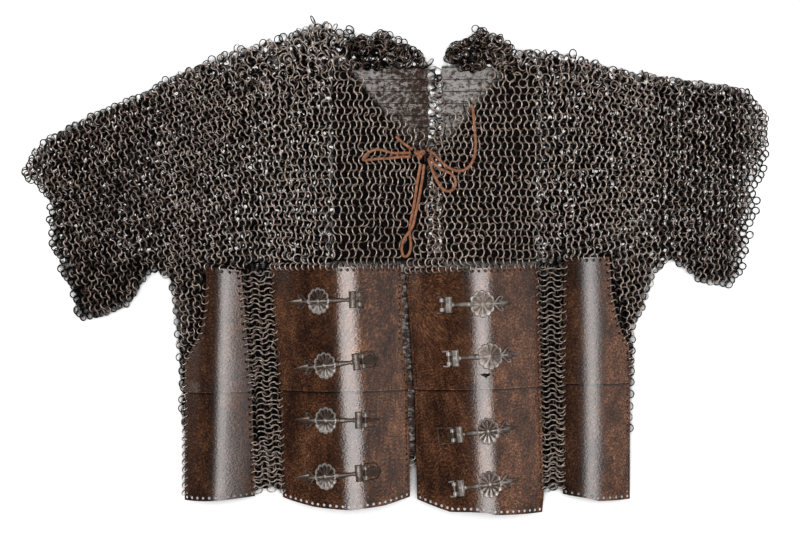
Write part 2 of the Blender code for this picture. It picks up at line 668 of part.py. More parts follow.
def tongue_shape(kind, reach):
    """A buckle tongue: an eye that turns on the bar, and a blade over the frame."""
    low = FRAME_THICKNESS / 2 + GAP
    half = TONGUE_WIDTH / 2
    root = EYE_WIDTH / 2 * 0.8
    heel = KNUCKLE_RADIUS * 0.25
    if kind == "leaf":
        side = [(heel, root), (reach * 0.25, half * 0.9), (reach * 0.6, half),
                (reach * 0.88, half * 0.7), (reach * 1.02, half * 0.25)]
    elif kind == "spike":
        side = [(heel, root * 0.9), (reach * 0.4, root * 0.7), (reach * 1.2, root * 0.3)]
    else:
        side = [(heel, root), (reach * 0.16, half * 0.75), (reach * 0.34, half * 0.70)]
    points = side + [(x, -y) for x, y in reversed(side)]
    blade = outline_solid(points, TONGUE_THICKNESS)
    bmesh.ops.translate(blade, verts=blade.verts, vec=(0, 0, low + TONGUE_THICKNESS / 2))
    eye = cylinder(KNUCKLE_RADIUS, EYE_WIDTH, 8, "Y")
    shape = combine(eye, blade, "UNION")
    bore = cylinder(BORE_RADIUS, EYE_WIDTH * 1.4, 8, "Y")
    return combine(shape, bore, "DIFFERENCE")


def bar_place(plate, centre, tilt, bar, side, height, reach):
    """Where a frame lies: its origin on the bar, its tip resting on the plate."""
    turn = math.radians(tilt)
    across = centre[0] + side * bar * math.cos(turn)
    along = centre[1] + bar * math.sin(turn)
    origin = wrap(plate, across, along, height + BAR_HEIGHT)
    step = PLATE / 10
    tangent = (wrap(plate, across + step, along, height + BAR_HEIGHT) - origin).normalized()
    up = (wrap(plate, across, along, height + BAR_HEIGHT + step) - origin).normalized()
    lengthwise = up.cross(tangent)
    outward = side * tangent * math.cos(turn) + lengthwise * math.sin(turn)
    clear = (BAR_HEIGHT + GAP - FRAME_THICKNESS / 2 + reach * reach / 2 / plate["radius"])
    droop = math.atan((clear - 2 * GAP) / reach)
    outward, up = (outward * math.cos(droop) - up * math.sin(droop),
                   up * math.cos(droop) + outward * math.sin(droop))
    third = up.cross(outward)
    place = Matrix((outward, third, up)).transposed().to_4x4()
    place.translation = origin
    return place


def buckles():
    for name, (plate_name, shares, tilt, bar_share, kind, left, tongue) in BUCKLES.items():
        plate = PLATES[plate_name]
        side = -1 if "right" in name else 1
        centre = (shares[0] * plate["size"][0] / 2, shares[1] * plate["size"][1] / 2)
        bar = bar_share * FINIAL_REACH
        height = 0 if shares[1] < 0 else PLATE + GAP
        remains = left if kind == "rusted" else 0
        buckle_base(name, plate, centre, tilt, bar, height, remains)
        if kind == "rusted":
            continue
        reach = FRAME_REACH * left
        place = bar_place(plate, centre, tilt, bar, side, height, reach)
        frame = make_object("frame_" + name, frame_shape(kind, reach), BUCKLE_IRON,
                            place=place)
        if tongue:
            blade = make_object("tongue_" + name, tongue_shape(tongue, reach), BUCKLE_IRON)
            blade.parent = frame


# Back lames

def lame_groups():
    edges, top, foot = lame_edges()
    for side, first in edges.items():
        for group in range(LAME_GROUPS):
            start = top - group * LAMES_IN_GROUP * LAME_PITCH
            upper, lower = [], []
            for lame in range(LAMES_IN_GROUP):
                head = start - lame * LAME_PITCH
                foot = head - LAME_PITCH
                if lame == LAMES_IN_GROUP - 1:
                    foot += GAP
                upper += [(head, LAME_THICKNESS), (foot, LAME_THICKNESS * 2)]
                lower += [(head, 0), (foot, LAME_RISE)]
            shape = outline_solid(upper + list(reversed(lower)), LAME_WIDTH)
            turn = Matrix(((0, 0, 1), (1, 0, 0), (0, 1, 0)))
            for vert in shape.verts:
                vert.co = turn @ vert.co
            bmesh.ops.translate(shape, verts=shape.verts,
                                vec=(first + LAME_WIDTH / 2, 0, 0))
            bmesh.ops.recalc_face_normals(shape, faces=shape.faces)
            make_object(f"lames_{side}_{group + 1}", shape, LAME_IRON, 20.0)


# Mail

def share_points(shares):
    return [Vector((x * HALF_SPAN, y * HALF_LENGTH)) for x, y in shares]


def line_distance(x, y, line):
    """Shortest way from a place to a line of several straight runs."""
    best = SPAN
    here = Vector((x, y))
    for start, stop in zip(line, line[1:]):
        run = stop - start
        share = min(max((here - start).dot(run) / run.length_squared, 0), 1)
        best = min(best, (here - start - run * share).length)
    return best


def plan_place(plate, share):
    """Where a corner of a plate's outline lies, looked at from above."""
    return wrap(plate, *outline_points(plate, [share])[0], 0).xy


def rim_path(plate, first, last):
    """A stretch of a plate's upper outline, moved out by the rim's clearance."""
    points = [Vector(point) for point in outline_points(plate, plate["upper_shares"])]
    path = []
    for step in range(first, last + 1):
        before, here, after = (points[(step + k) % len(points)] for k in (-1, 0, 1))
        out = Vector((0, 0))
        for a, b in ((before, here), (here, after)):
            along = (b - a).normalized()
            out += Vector((-along.y, along.x))
        moved = here + out.normalized() * RIM_CLEARANCE
        path.append(wrap(plate, *moved, 0).xy)
    return path


def sleeve_points(plate, shares):
    edge = plate_centre(plate).x + plate["side"] * half_chord(plate)
    reach = plate["side"] * HALF_SPAN - edge
    return [Vector((edge + x * reach, y * HALF_LENGTH)) for x, y in shares]


def front_outlines():
    """Both front halves: neck, slit, the plates' rims, the sleeve and the shoulder."""
    left_rim = rim_path(PLATES["plate_left"], 0, 1)
    right_rim = rim_path(PLATES["plate_right"], 0, 1)
    middle = (left_rim[1].x + right_rim[0].x) / 2
    left = share_points(NECK_LEFT_SHARES)
    left += [Vector((middle - SLIT_GAP / 2, left_rim[1].y)), left_rim[0]]
    left += reversed(rim_path(PLATES["side_plate_left"], 4, 10))
    left += SLEEVES["left"] + share_points(SHOULDER_LEFT_SHARES)
    right = share_points(NECK_RIGHT_SHARES)
    right += [Vector((middle + SLIT_GAP / 2, right_rim[0].y)), right_rim[1]]
    right += rim_path(PLATES["side_plate_right"], 0, 5)
    right += SLEEVES["right"] + share_points(SHOULDER_RIGHT_SHARES)
    return {"left": left, "right": right}


def fold_lines():
    """The underarm and the top of each sleeve, where front and back mail meet."""
    lines = []
    for half, shoulder in (("left", SHOULDER_LEFT_SHARES), ("right", SHOULDER_RIGHT_SHARES)):
        sleeve = SLEEVES[half]
        lines.append(sleeve[:UNDERARM_POINTS])
        lines.append(sleeve[-CUFF_TOP_POINTS:] + share_points(shoulder))
    return lines


SLEEVES = {"left": sleeve_points(PLATES["side_plate_left"], SLEEVE_LEFT_SHARES),
           "right": sleeve_points(PLATES["side_plate_right"], SLEEVE_RIGHT_SHARES)}
FOLDS = fold_lines()
CREASES = [share_points(line) for line in CREASES_SHARES]


def arch_height(x, y):
    """Height of the underside of the plates' upper rims, carried up the chest."""
    for plate in PLATES.values():
        centre = plate_centre(plate)
        turn = math.radians(plate["slant"])
        rim = centre.y + plate["size"][1] / 2
        along = min(y, rim) - centre.y
        local = (x - centre.x) * math.cos(turn) + along * math.sin(turn)
        radius = plate["radius"]
        if abs(local) < half_chord(plate):
            return wrap(plate, radius * math.asin(local / radius), 0, 0).z
    return PLATE_LIFT


def beyond_plates(x):
    """How far a place lies to the side of all the plates."""
    edges = []
    for plate in PLATES.values():
        reach = half_chord(plate)
        edges += [plate_centre(plate).x - reach, plate_centre(plate).x + reach]
    return max(min(edges) - x, x - max(edges), 0)


def front_floor(x, y):
    """Underside of the front mail: low at folds, arched above the plates."""
    fold = smooth_share(min(line_distance(x, y, line) for line in FOLDS) / FOLD_RUN)
    flat = FRONT_LOW + (CHEST_FLOOR - FRONT_LOW) * fold
    for line in CREASES:
        away = line_distance(x, y, line) / FOLD_WIDTH
        flat += FOLD_HEIGHT * fold * math.exp(-away * away)
    rise = 1 - smooth_share(y / RISE_RUN)
    rise *= 1 - smooth_share(beyond_plates(x) / FOLD_RUN)
    near = smooth_share(min(line_distance(x, y, line) for line in FOLDS) / (FOLD_RUN / 2))
    target = FRONT_LOW + (arch_height(x, y) - FRONT_LOW) * near
    return max(flat + (target - flat) * rise, FRONT_LOW)


def mail_sheet(name, points, low, high, cell):
    """Mail as one draped sheet: an outline, cut in cells, set between two heights."""
    flat = outline_solid(points, MAIL)
    spare = [face for face in flat.faces if face.normal.z < 0.5]
    bmesh.ops.delete(flat, geom=spare, context="FACES")
    bmesh.ops.dissolve_faces(flat, faces=flat.faces[:])
    if cell:
        for axis in (0, 1):
            places = [point[axis] for point in points]
            first, last = min(places), max(places)
            count = round((last - first) / cell)
            slice_shape(flat, axis, [first + (last - first) * step / count
                                     for step in range(1, count)])
    raised = bmesh.ops.extrude_face_region(flat, geom=flat.faces[:], use_keep_orig=True)
    upper = {item for item in raised["geom"] if isinstance(item, bmesh.types.BMVert)}
    for vert in flat.verts:
        level = high if vert in upper else low
        vert.co.z = level(vert.co.x, vert.co.y)
    bmesh.ops.recalc_face_normals(flat, faces=flat.faces)
    make_object(name, flat, MAIL_IRON, 60.0)


def collar_top(x, y):
    wave = math.sin(x / COLLAR_WAVE * math.tau) * math.cos(y / COLLAR_WAVE * math.tau)
    return COLLAR_HEIGHT * (0.72 + 0.28 * wave)


def strip_top(x, y):
    centre_low = FRONT_LOW + STRIP_THICKNESS
    return centre_low + STRIP_RIB * math.cos(y / DRAPE_CELL * math.pi)


def strip_outline(left_plate, right_plate, shares):
    """A strip's outline, set between the facing edges of two plates."""
    head_left = plan_place(left_plate, left_plate["upper_shares"][1])
    foot_left = plan_place(left_plate, left_plate["lower_shares"][2])
    head_right = plan_place(right_plate, right_plate["upper_shares"][0])
    foot_right = plan_place(right_plate, right_plate["lower_shares"][-1])
    head = min(head_left.y, head_right.y)
    foot = max(foot_left.y, foot_right.y)
    points = []
    for across, down in shares:
        left = head_left.lerp(foot_left, down).x
        right = head_right.lerp(foot_right, down).x
        points.append(Vector((left + (right - left) * across, head + (foot - head) * down)))
    return points


def lame_edges():
    """Left edges of both columns of lames, and their top and foot."""
    first = SPINE_SHARE * HALF_SPAN - SPINE_WIDTH / 2 - LAME_WIDTH
    top = LAMES_TOP_SHARE * HALF_LENGTH
    foot = top - LAME_PITCH * LAMES_IN_GROUP * LAME_GROUPS
    return {"left": first, "right": first + LAME_WIDTH + SPINE_WIDTH}, top, foot


def back_outline(half, inner, head, foot):
    """Back mail of one half: beside the neck and the lames, the flank, the sleeve."""
    plate = PLATES["side_plate_" + half]
    flank = plate_centre(plate).x + plate["side"] * half_chord(plate)
    neck = share_points([BACK_NECK_SHARES[half]])[0]
    points = [neck, Vector((neck.x, head)), Vector((inner, head)), Vector((inner, foot)),
              Vector((flank, foot))]
    shoulder = SHOULDER_LEFT_SHARES if half == "left" else SHOULDER_RIGHT_SHARES
    return points + SLEEVES[half] + share_points(shoulder)


def box_outline(low_x, high_x, high_y, low_y):
    return [Vector((low_x, high_y)), Vector((high_x, high_y)), Vector((high_x, low_y)),
            Vector((low_x, low_y))]


def table_level(x, y):
    return 0.0


def back_top(x, y):
    return MAIL


def above_back(x, y):
    return FRONT_LOW


def front_top(x, y):
    return front_floor(x, y) + MAIL


def mail_pieces():
    edges, top, foot = lame_edges()
    hem_top = foot - SEAM_GAP
    hem_foot = hem_top - HEM_DEPTH
    inner = {"left": edges["left"] - LAME_CLEARANCE,
             "right": edges["right"] + LAME_WIDTH + LAME_CLEARANCE}
    fronts = front_outlines()
    for half in ("left", "right"):
        back = back_outline(half, inner[half], top + LAME_CLEARANCE, hem_foot)
        mail_sheet("mail_back_" + half, back, table_level, back_top, 0)
        mail_sheet("mail_front_" + half, fronts[half], front_floor, front_top, DRAPE_CELL)
    for name, shares in (("collar_left", COLLAR_LEFT_SHARES),
                         ("collar_right", COLLAR_RIGHT_SHARES)):
        mail_sheet(name, share_points(shares), table_level, collar_top, DRAPE_CELL / 2)
    left = strip_outline(PLATES["side_plate_left"], PLATES["plate_left"], STRIP_LEFT_SHARES)
    mail_sheet("mail_strip_left", left, above_back, strip_top, DRAPE_CELL)
    right = strip_outline(PLATES["plate_right"], PLATES["side_plate_right"],
                          STRIP_RIGHT_SHARES)
    mail_sheet("mail_strip_right", right, above_back, strip_top, DRAPE_CELL)
    spine = box_outline(edges["left"] + LAME_WIDTH + SEAM_GAP, edges["right"] - SEAM_GAP,
                        top, foot)
    mail_sheet("mail_spine", spine, table_level, back_top, 0)
    hem = box_outline(edges["left"] + SEAM_GAP, edges["right"] + LAME_WIDTH - SEAM_GAP,
                      hem_top, hem_foot)
    mail_sheet("mail_hem", hem, table_level, back_top, 0)
    mail_sheet("mail_neck_link", share_points(NECK_LINK_SHARES), table_level, back_top, 0)


# Lacing

def plan_point(across, down, height):
    x, y = (across - PLAN_ACROSS) * PLAN_STEP, (PLAN_DOWN - down) * PLAN_STEP
    return Vector((x, y, front_floor(x, y) + MAIL + height * THONG))


def smooth_route(points, spacing):
    """A curve through the points, read at even steps."""
    dense = []
    for step in range(len(points) - 1):
        a = points[max(step - 1, 0)]
        b, c = points[step], points[step + 1]
        d = points[min(step + 2, len(points) - 1)]
        for part in range(12):
            t = part / 12
            dense.append(0.5 * (2 * b + (c - a) * t + (2 * a - 5 * b + 4 * c - d) * t * t
                                + (3 * b - a - 3 * c + d) * t * t * t))
    dense.append(points[-1])
    total = sum((b - a).length for a, b in zip(dense, dense[1:]))
    count = max(round(total / spacing), 2)
    places, run, goal = [dense[0]], 0.0, total / count
    for a, b in zip(dense, dense[1:]):
        length = (b - a).length
        while run + length >= goal * len(places) and len(places) < count:
            places.append(a + (b - a) * ((goal * len(places) - run) / length))
        run += length
    return places + [dense[-1]]


def thong_run(name, route):
    points = smooth_route([plan_point(*spot) for spot in route], 1.9 * THONG)
    curve = bpy.data.curves.new(name, "CURVE")
    curve.dimensions = "3D"
    curve.bevel_depth = THONG / 2
    curve.bevel_resolution = 1
    curve.use_fill_caps = True
    spline = curve.splines.new("POLY")
    spline.points.add(len(points) - 1)
    for spot, place in zip(spline.points, points):
        spot.co = (*place, 1)
    curve.materials.append(LEATHER)
    SHIRT.objects.link(bpy.data.objects.new(name, curve))


def lacing():
    thong_run("lace_tie", TIE_ROUTE)
    thong_run("lace_bow_left", BOW_LEFT_ROUTE)
    thong_run("lace_bow_right", BOW_RIGHT_ROUTE)
    thong_run("lace_end_short", END_SHORT_ROUTE)
    thong_run("lace_end_long", END_LONG_ROUTE)
    knot = bmesh.new()
    bmesh.ops.create_uvsphere(knot, u_segments=12, v_segments=8, radius=0.5)
    for vert in knot.verts:
        wraps = 1 + 0.05 * math.cos(4 * math.atan2(vert.co.z, vert.co.x))
        vert.co = Vector((vert.co.x * KNOT_LENGTH * wraps, vert.co.y * KNOT_WIDTH,
                          vert.co.z * KNOT_HEIGHT * wraps))
    make_object("lace_knot", knot, LEATHER, 60.0,
                Matrix.Translation(plan_point(*KNOT_PLACE)))


front_plates()
buckles()
lame_groups()
mail_pieces()
lacing()
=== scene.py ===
import bpy
import bmesh
import math
import numpy as np
from mathutils import Matrix, Vector, noise
from mathutils.bvhtree import BVHTree


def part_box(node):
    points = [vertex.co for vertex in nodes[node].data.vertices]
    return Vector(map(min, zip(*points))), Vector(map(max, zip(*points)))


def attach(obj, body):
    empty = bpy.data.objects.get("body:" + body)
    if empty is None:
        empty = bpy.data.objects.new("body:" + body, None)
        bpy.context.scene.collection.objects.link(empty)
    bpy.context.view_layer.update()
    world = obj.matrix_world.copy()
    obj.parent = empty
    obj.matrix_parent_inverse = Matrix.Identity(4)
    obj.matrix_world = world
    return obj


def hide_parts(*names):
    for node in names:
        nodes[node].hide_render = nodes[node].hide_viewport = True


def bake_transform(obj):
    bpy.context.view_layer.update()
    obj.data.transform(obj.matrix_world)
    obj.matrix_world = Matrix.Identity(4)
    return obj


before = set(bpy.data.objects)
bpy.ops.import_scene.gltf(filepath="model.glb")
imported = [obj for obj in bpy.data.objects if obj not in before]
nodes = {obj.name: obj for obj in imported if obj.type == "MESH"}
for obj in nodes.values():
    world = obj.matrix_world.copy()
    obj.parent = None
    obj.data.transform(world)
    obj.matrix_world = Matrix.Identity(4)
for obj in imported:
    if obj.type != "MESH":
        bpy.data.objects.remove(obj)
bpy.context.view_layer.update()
bpy.ops.object.select_all(action="DESELECT")

# The camera looks straight down on the laid-out shirt from 1.6 m, and the plain pale
# table shows white to the camera. Under the shirt its colour and glow are painted dark
# by ambient occlusion, a painted shadow seen through the gaps between rings, and painted
# light brightens it there near the cuffs, at the neck and in small spots of the chest.
bpy.ops.object.camera_add(location=(0.0073, -0.0013, 1.62))
camera = bpy.context.object
camera.data.lens = 53.3
bpy.context.scene.camera = camera
bpy.context.scene.view_settings.view_transform = "Standard"

bpy.ops.mesh.primitive_plane_add(size=8, location=(0, 0, -0.0004))
table = bpy.context.object
table.name = "table"


def start_material(name):
    """A new material, its node tree and its Principled shader."""
    material = bpy.data.materials.new(name)
    material.use_nodes = True
    return material, material.node_tree, material.node_tree.nodes["Principled BSDF"]


def plug(tree, node, inputs):
    """Set a node's inputs to values, or link other nodes' outputs to them."""
    for socket, value in inputs.items():
        if isinstance(value, bpy.types.NodeSocket):
            tree.links.new(value, node.inputs[socket])
        else:
            node.inputs[socket].default_value = value


def add_node(tree, kind, inputs=None, **settings):
    """A new shader node with its settings and inputs."""
    node = tree.nodes.new("ShaderNode" + kind)
    for name, value in settings.items():
        setattr(node, name, value)
    plug(tree, node, inputs or {})
    return node


def add_math(tree, operation, *values):
    """The result of a sum or the like on values and outputs."""
    return add_node(tree, "Math", dict(enumerate(values)), operation=operation).outputs[0]


def add_range(tree, value, start=0, stop=1, least=0, most=1, **settings):
    """A value's way from start to stop, made a way from least to most."""
    return add_node(tree, "MapRange", {"Value": value, "From Min": start, "From Max": stop,
                                       "To Min": least, "To Max": most},
                    **settings).outputs["Result"]


def add_noise(tree, place, scale, detail, roughness=0.5):
    """Blotches of a fine or coarse scale, as a value about 0.5."""
    return add_node(tree, "TexNoise", {"Vector": place, "Scale": scale, "Detail": detail,
                                       "Roughness": roughness}).outputs["Fac"]


def add_ramp(tree, value, *stops):
    """The colour at a value, between stops of a place and a colour each."""
    ramp = add_node(tree, "ValToRGB", {"Fac": value})
    elements = ramp.color_ramp.elements
    for element, stop in zip(elements, (stops[0], stops[-1])):
        element.position, element.color = stop
    for position, colour in stops[1:-1]:
        elements.new(position).color = colour
    return ramp.outputs["Color"]


white, tree, cloth = start_material("table_white")
place = add_node(tree, "TexCoord").outputs["Object"]
apart = add_node(tree, "SeparateXYZ", {"Vector": place}).outputs
# Painted shadow: ambient occlusion darkens the table's colour and glow where the shirt covers it
open_sky = add_node(tree, "AmbientOcclusion", {"Distance": 0.10}, samples=12).outputs["AO"]
# Painted light: the table glows brighter through the rings near the cuffs, at the neck and, above
# the plates, in noise spots
at_cuffs = add_range(tree, add_math(tree, "ABSOLUTE", apart["X"]),
                     start=0.458, stop=0.49, most=0.30)
at_neck = add_range(tree, apart["Y"], start=0.262, stop=0.31, most=0.10)
painted_glints = add_range(tree, add_noise(tree, place, scale=150, detail=1),
                 start=0.56, stop=0.64, most=0.50)
above_plates = add_range(tree, apart["Y"], start=-0.02, stop=0.03)
lighter = add_math(tree, "ADD", add_math(tree, "ADD", open_sky, at_cuffs), at_neck)
painted_table_light = add_range(tree, add_math(tree, "MULTIPLY_ADD", painted_glints, above_plates, lighter),
                     start=0.36, stop=0.84, interpolation_type="SMOOTHSTEP")
camera_ray = add_node(tree, "LightPath").outputs["Is Camera Ray"]
plug(tree, cloth, {
    "Base Color": add_ramp(tree, painted_table_light, (0, (0.01, 0.01, 0.01, 1)),
                           (0.75, (0.80, 0.80, 0.80, 1))),
    "Roughness": 0.9, "Specular IOR Level": 0.0, "Emission Color": (0.8, 0.8, 0.8, 1),
    "Emission Strength": add_math(tree, "MULTIPLY", camera_ray, painted_table_light)})
table.data.materials.append(white)

world = bpy.data.worlds.new("studio")
bpy.context.scene.world = world
world.use_nodes = True
world.node_tree.nodes["Background"].inputs["Color"].default_value = (0.95, 0.97, 1.0, 1)
world.node_tree.nodes["Background"].inputs["Strength"].default_value = 0.03
for name, place, size, power in (("key", (0.357, -0.20, 2.0), (0.60, 1.8), 16.5),
                                 ("left", (-2.4, 0.4, 0.55), (1.6, 0.5), 26),
                                 ("right", (1.9, 0.0, 1.5), (2.4, 1.6), 4.6)):
    bpy.ops.object.light_add(type="AREA", location=place)
    lamp = bpy.context.object
    lamp.name = name
    lamp.data.shape = "RECTANGLE"
    lamp.data.size, lamp.data.size_y = size
    lamp.data.energy = power
    lamp.rotation_euler = (0, math.atan2(place[0], place[2]), 0)

# The leather thong: a doubled tie down the slit, two bow loops and two loose ends,
# each a free cord on the route that its solid has, and a knot of crossing turns.
hide, tree, skin = start_material("thong_leather")
place = add_node(tree, "TexCoord").outputs["Object"]
grain = add_noise(tree, place, scale=260, detail=6)
crease = add_node(tree, "Bump", {"Strength": 0.5, "Distance": 0.0006, "Height": grain})
plug(tree, skin, {
    "Base Color": add_ramp(tree, grain, (0.30, (0.34, 0.120, 0.058, 1)),
                           (0.72, (0.88, 0.40, 0.22, 1))),
    "Roughness": 0.62, "Normal": crease.outputs["Normal"]})


def smooth_route(points, spacing):
    """Places at even steps on a smooth curve through a route, to a tenth of a mm."""
    points = np.array(points)
    ends = np.concatenate([points[:1], points, points[-1:]])
    a, b, c, d = (ends[k:len(points) - 1 + k, None] for k in range(4))
    t = np.arange(12)[:, None] / 12
    dense = 0.5 * (2 * b + (c - a) * t + (2 * a - 5 * b + 4 * c - d) * t ** 2
                   + (3 * b - a - 3 * c + d) * t ** 3)
    dense = np.concatenate([dense.reshape(-1, 3), points[-1:]])
    run = np.cumsum([0, *np.linalg.norm(np.diff(dense, axis=0), axis=1)])
    steps = np.linspace(0, run[-1], max(round(run[-1] / spacing), 2) + 1)
    return np.column_stack([np.interp(steps, run, axis) for axis in dense.T]).round(4).tolist()


def round_bar(points, radius, kind="NURBS", order=3, between=4, sides=3, cyclic=False,
              taper=0):
    """A round bar along points, as a curve."""
    bpy.ops.curve.primitive_bezier_curve_add()
    bar = bpy.context.object
    curve = bar.data
    curve.splines.remove(curve.splines[0])
    run = curve.splines.new(kind)
    run.points.add(len(points) - 1)
    for step, (spot, where) in enumerate(zip(run.points, points)):
        spot.co = (*where, 1)
        spot.radius = 1 - taper * step / len(points)
    run.order_u = order
    run.use_cyclic_u = cyclic
    run.use_endpoint_u = not cyclic
    run.resolution_u = between
    curve.bevel_depth = radius
    curve.bevel_resolution = sides
    curve.use_fill_caps = True
    return bar


# The chosen points of each route, as in the part's source but in metres
thong_step = 0.00836
thong_runs = {
    "lace_tie": (0.2662, "object", (
        (0.035235, 0.1377, 0.01974), (0.032805, 0.12555, 0.01908), (0.030645, 0.1134, 0.01908),
        (0.02862, 0.09855, 0.019128), (0.02646, 0.0837, 0.019622), (0.02403, 0.0702, 0.020096),
        (0.0216, 0.0594, 0.019834), (0.02025, 0.04995, 0.019269), (0.02052, 0.0405, 0.01923),
        (0.02214, 0.03105, 0.020017), (0.0216, 0.022275, 0.020124), (0.01863, 0.014175, 0.018911),
        (0.01458, 0.0108, 0.016001), (0.0108, 0.01485, 0.019513), (0.00918, 0.023625, 0.021844),
        (0.01107, 0.033075, 0.021512), (0.0162, 0.04185, 0.023502), (0.02295, 0.04995, 0.026024),
        (0.02646, 0.06075, 0.022435), (0.028755, 0.0729, 0.020522), (0.03159, 0.08505, 0.019889),
        (0.03429, 0.099225, 0.019148), (0.03672, 0.1134, 0.01908), (0.03861, 0.126225, 0.01908),
        (0.03969, 0.13716, 0.01974))),
    "lace_bow_left": (0.1381, "object", (
        (0.0216, 0.14742, 0.0204), (0.01269, 0.14769, 0.0193), (0.002565, 0.14688, 0.018816),
        (-0.010935, 0.14526, 0.018816), (-0.02511, 0.14499, 0.018816),
        (-0.036585, 0.1431, 0.018816), (-0.0432, 0.14256, 0.018816), (-0.04374, 0.14607, 0.018816),
        (-0.03861, 0.15066, 0.018816), (-0.03132, 0.15606, 0.018816),
        (-0.02376, 0.15768, 0.018816), (-0.01431, 0.15633, 0.018816),
        (-0.00486, 0.15309, 0.018816), (0.00459, 0.15255, 0.018816), (0.01269, 0.15282, 0.0193),
        (0.02187, 0.15282, 0.0204))),
    "lace_bow_right": (0.127, "object", (
        (0.04563, 0.1458, 0.01952), (0.04914, 0.135, 0.018816), (0.05346, 0.12285, 0.018816),
        (0.05913, 0.11178, 0.018816), (0.06588, 0.10287, 0.018842), (0.07344, 0.10017, 0.018958),
        (0.08073, 0.10395, 0.018823), (0.08316, 0.11259, 0.018816), (0.081, 0.12069, 0.018816),
        (0.0756, 0.12609, 0.018816), (0.06804, 0.12852, 0.018816), (0.05859, 0.13338, 0.018816),
        (0.05292, 0.13959, 0.018816), (0.04698, 0.14904, 0.01952))),
    "lace_end_short": (0.030, "bare", (
        (0.0243, 0.15768, 0.0204), (0.0189, 0.16092, 0.01952), (0.01161, 0.16632, 0.018904),
        (0.00648, 0.17064, 0.018816), (0.00189, 0.17523, 0.018816))),
    "lace_end_long": (0.1536, "bare", (
        (0.04374, 0.15741, 0.02128), (0.05184, 0.15309, 0.02084), (0.05859, 0.1458, 0.02084),
        (0.06534, 0.13851, 0.02172), (0.07344, 0.1323, 0.02282), (0.082215, 0.12852, 0.02194),
        (0.09099, 0.12825, 0.01952), (0.09909, 0.1323, 0.018816), (0.10503, 0.1404, 0.018816),
        (0.10881, 0.1512, 0.018816), (0.10962, 0.162675, 0.018816), (0.10935, 0.17415, 0.018816),
        (0.10827, 0.185625, 0.018816), (0.10719, 0.1971, 0.018816), (0.10638, 0.2079, 0.018816),
        (0.10584, 0.216, 0.018816))),
}
for name, (length, far_end, route) in thong_runs.items():
    places = smooth_route(route, thong_step)
    thong = round_bar(places, 0.0019)
    thong.name = name + "_thong"
    thong.data.materials.append(hide)
    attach(thong, "shirt")
    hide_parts(name)
turns = [(0.0337 + 0.0030 * (math.sin(angle) + 1.25 * math.sin(2 * angle)),
          0.1512 + 0.0026 * (math.cos(angle) - 1.25 * math.cos(2 * angle)),
          0.0232 - 0.0024 * math.sin(3 * angle))
         for angle in (math.tau * step / 24 for step in range(24))]
knot = round_bar(turns, 0.0021, order=4, cyclic=True)
knot.name = "lace_knot_thong"
bpy.ops.object.convert(target="MESH")
knot = bpy.context.object
knot.data.materials.append(hide)
bpy.ops.object.shade_smooth()
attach(knot, "shirt")
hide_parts("lace_knot")

# Mail: one riveted ring is modelled, then copied along rows that run from the slit
# out along the sleeves. Neighbouring rows lean opposite ways and overlap, without
# being true links. The side of each ring that stands up is painted brightest, partly
# wear and partly a painted highlight, and its lower side is painted dark as shade.
ring_radius = 0.0062
bpy.ops.object.select_all(action="DESELECT")
bpy.ops.mesh.primitive_torus_add(major_segments=14, minor_segments=5,
                                 major_radius=ring_radius, minor_radius=0.00078)
ring = bpy.context.object
bpy.ops.object.mode_set(mode="EDIT")
bpy.ops.mesh.select_all(action="DESELECT")
bpy.ops.object.mode_set(mode="OBJECT")
for vert in ring.data.vertices:
    vert.select = vert.co.x > 0.0050 and abs(vert.co.y) < 0.001
bpy.ops.object.mode_set(mode="EDIT")
bpy.ops.transform.resize(value=(1.45, 1.0, 1.25))
bpy.ops.object.mode_set(mode="OBJECT")
ring_points = np.array([v.co[:] for v in ring.data.vertices])
ring_core = ring_points * (1, 1, 0)
ring_core *= ring_radius / np.linalg.norm(ring_core, axis=1)[:, None]
ring_skin = ring_points - ring_core
ring_faces = np.array([p.vertices[:] for p in ring.data.polygons])
bpy.data.objects.remove(ring)

# Wear and painted light: a per-vertex value, high on the standing side of a piece, that
# paints it lighter (partly wear, partly a painted highlight) and its low side darker as
# painted shade, broken up by rust: the mail and the buckles both have it, each with a
# scale, a detail and a share of its own.
edge_wear_and_light = bpy.data.node_groups.new("edge_wear_and_light", "ShaderNodeTree")
for name in ("Scale", "Detail", "Share"):
    edge_wear_and_light.interface.new_socket(name, in_out="INPUT", socket_type="NodeSocketFloat")
edge_wear_and_light.interface.new_socket("WearAndLight", in_out="OUTPUT", socket_type="NodeSocketFloat")
given = edge_wear_and_light.nodes.new("NodeGroupInput").outputs
place = add_node(edge_wear_and_light, "TexCoord").outputs["Object"]
rust = add_noise(edge_wear_and_light, place, given["Scale"], given["Detail"])
raised = add_node(edge_wear_and_light, "Attribute", attribute_name="raised").outputs["Fac"]
plug(edge_wear_and_light, edge_wear_and_light.nodes.new("NodeGroupOutput"),
     {"WearAndLight": add_math(edge_wear_and_light, "MULTIPLY_ADD", rust, given["Share"], raised)})

iron, tree, metal = start_material("mail_iron")
wear_and_light = add_node(tree, "Group", {"Scale": 60, "Detail": 6, "Share": 0.42},
                node_tree=edge_wear_and_light).outputs["WearAndLight"]
plug(tree, metal, {
    "Base Color": add_ramp(tree, wear_and_light, (0.46, (0.005, 0.003, 0.002, 1)),
                           (0.66, (0.24, 0.165, 0.13, 1)), (0.92, (0.95, 0.79, 0.69, 1))),
    "Metallic": 0.7, "Roughness": 0.36, "Specular IOR Level": 0.25})

rng = np.random.default_rng(11)
noise.seed_set(5)


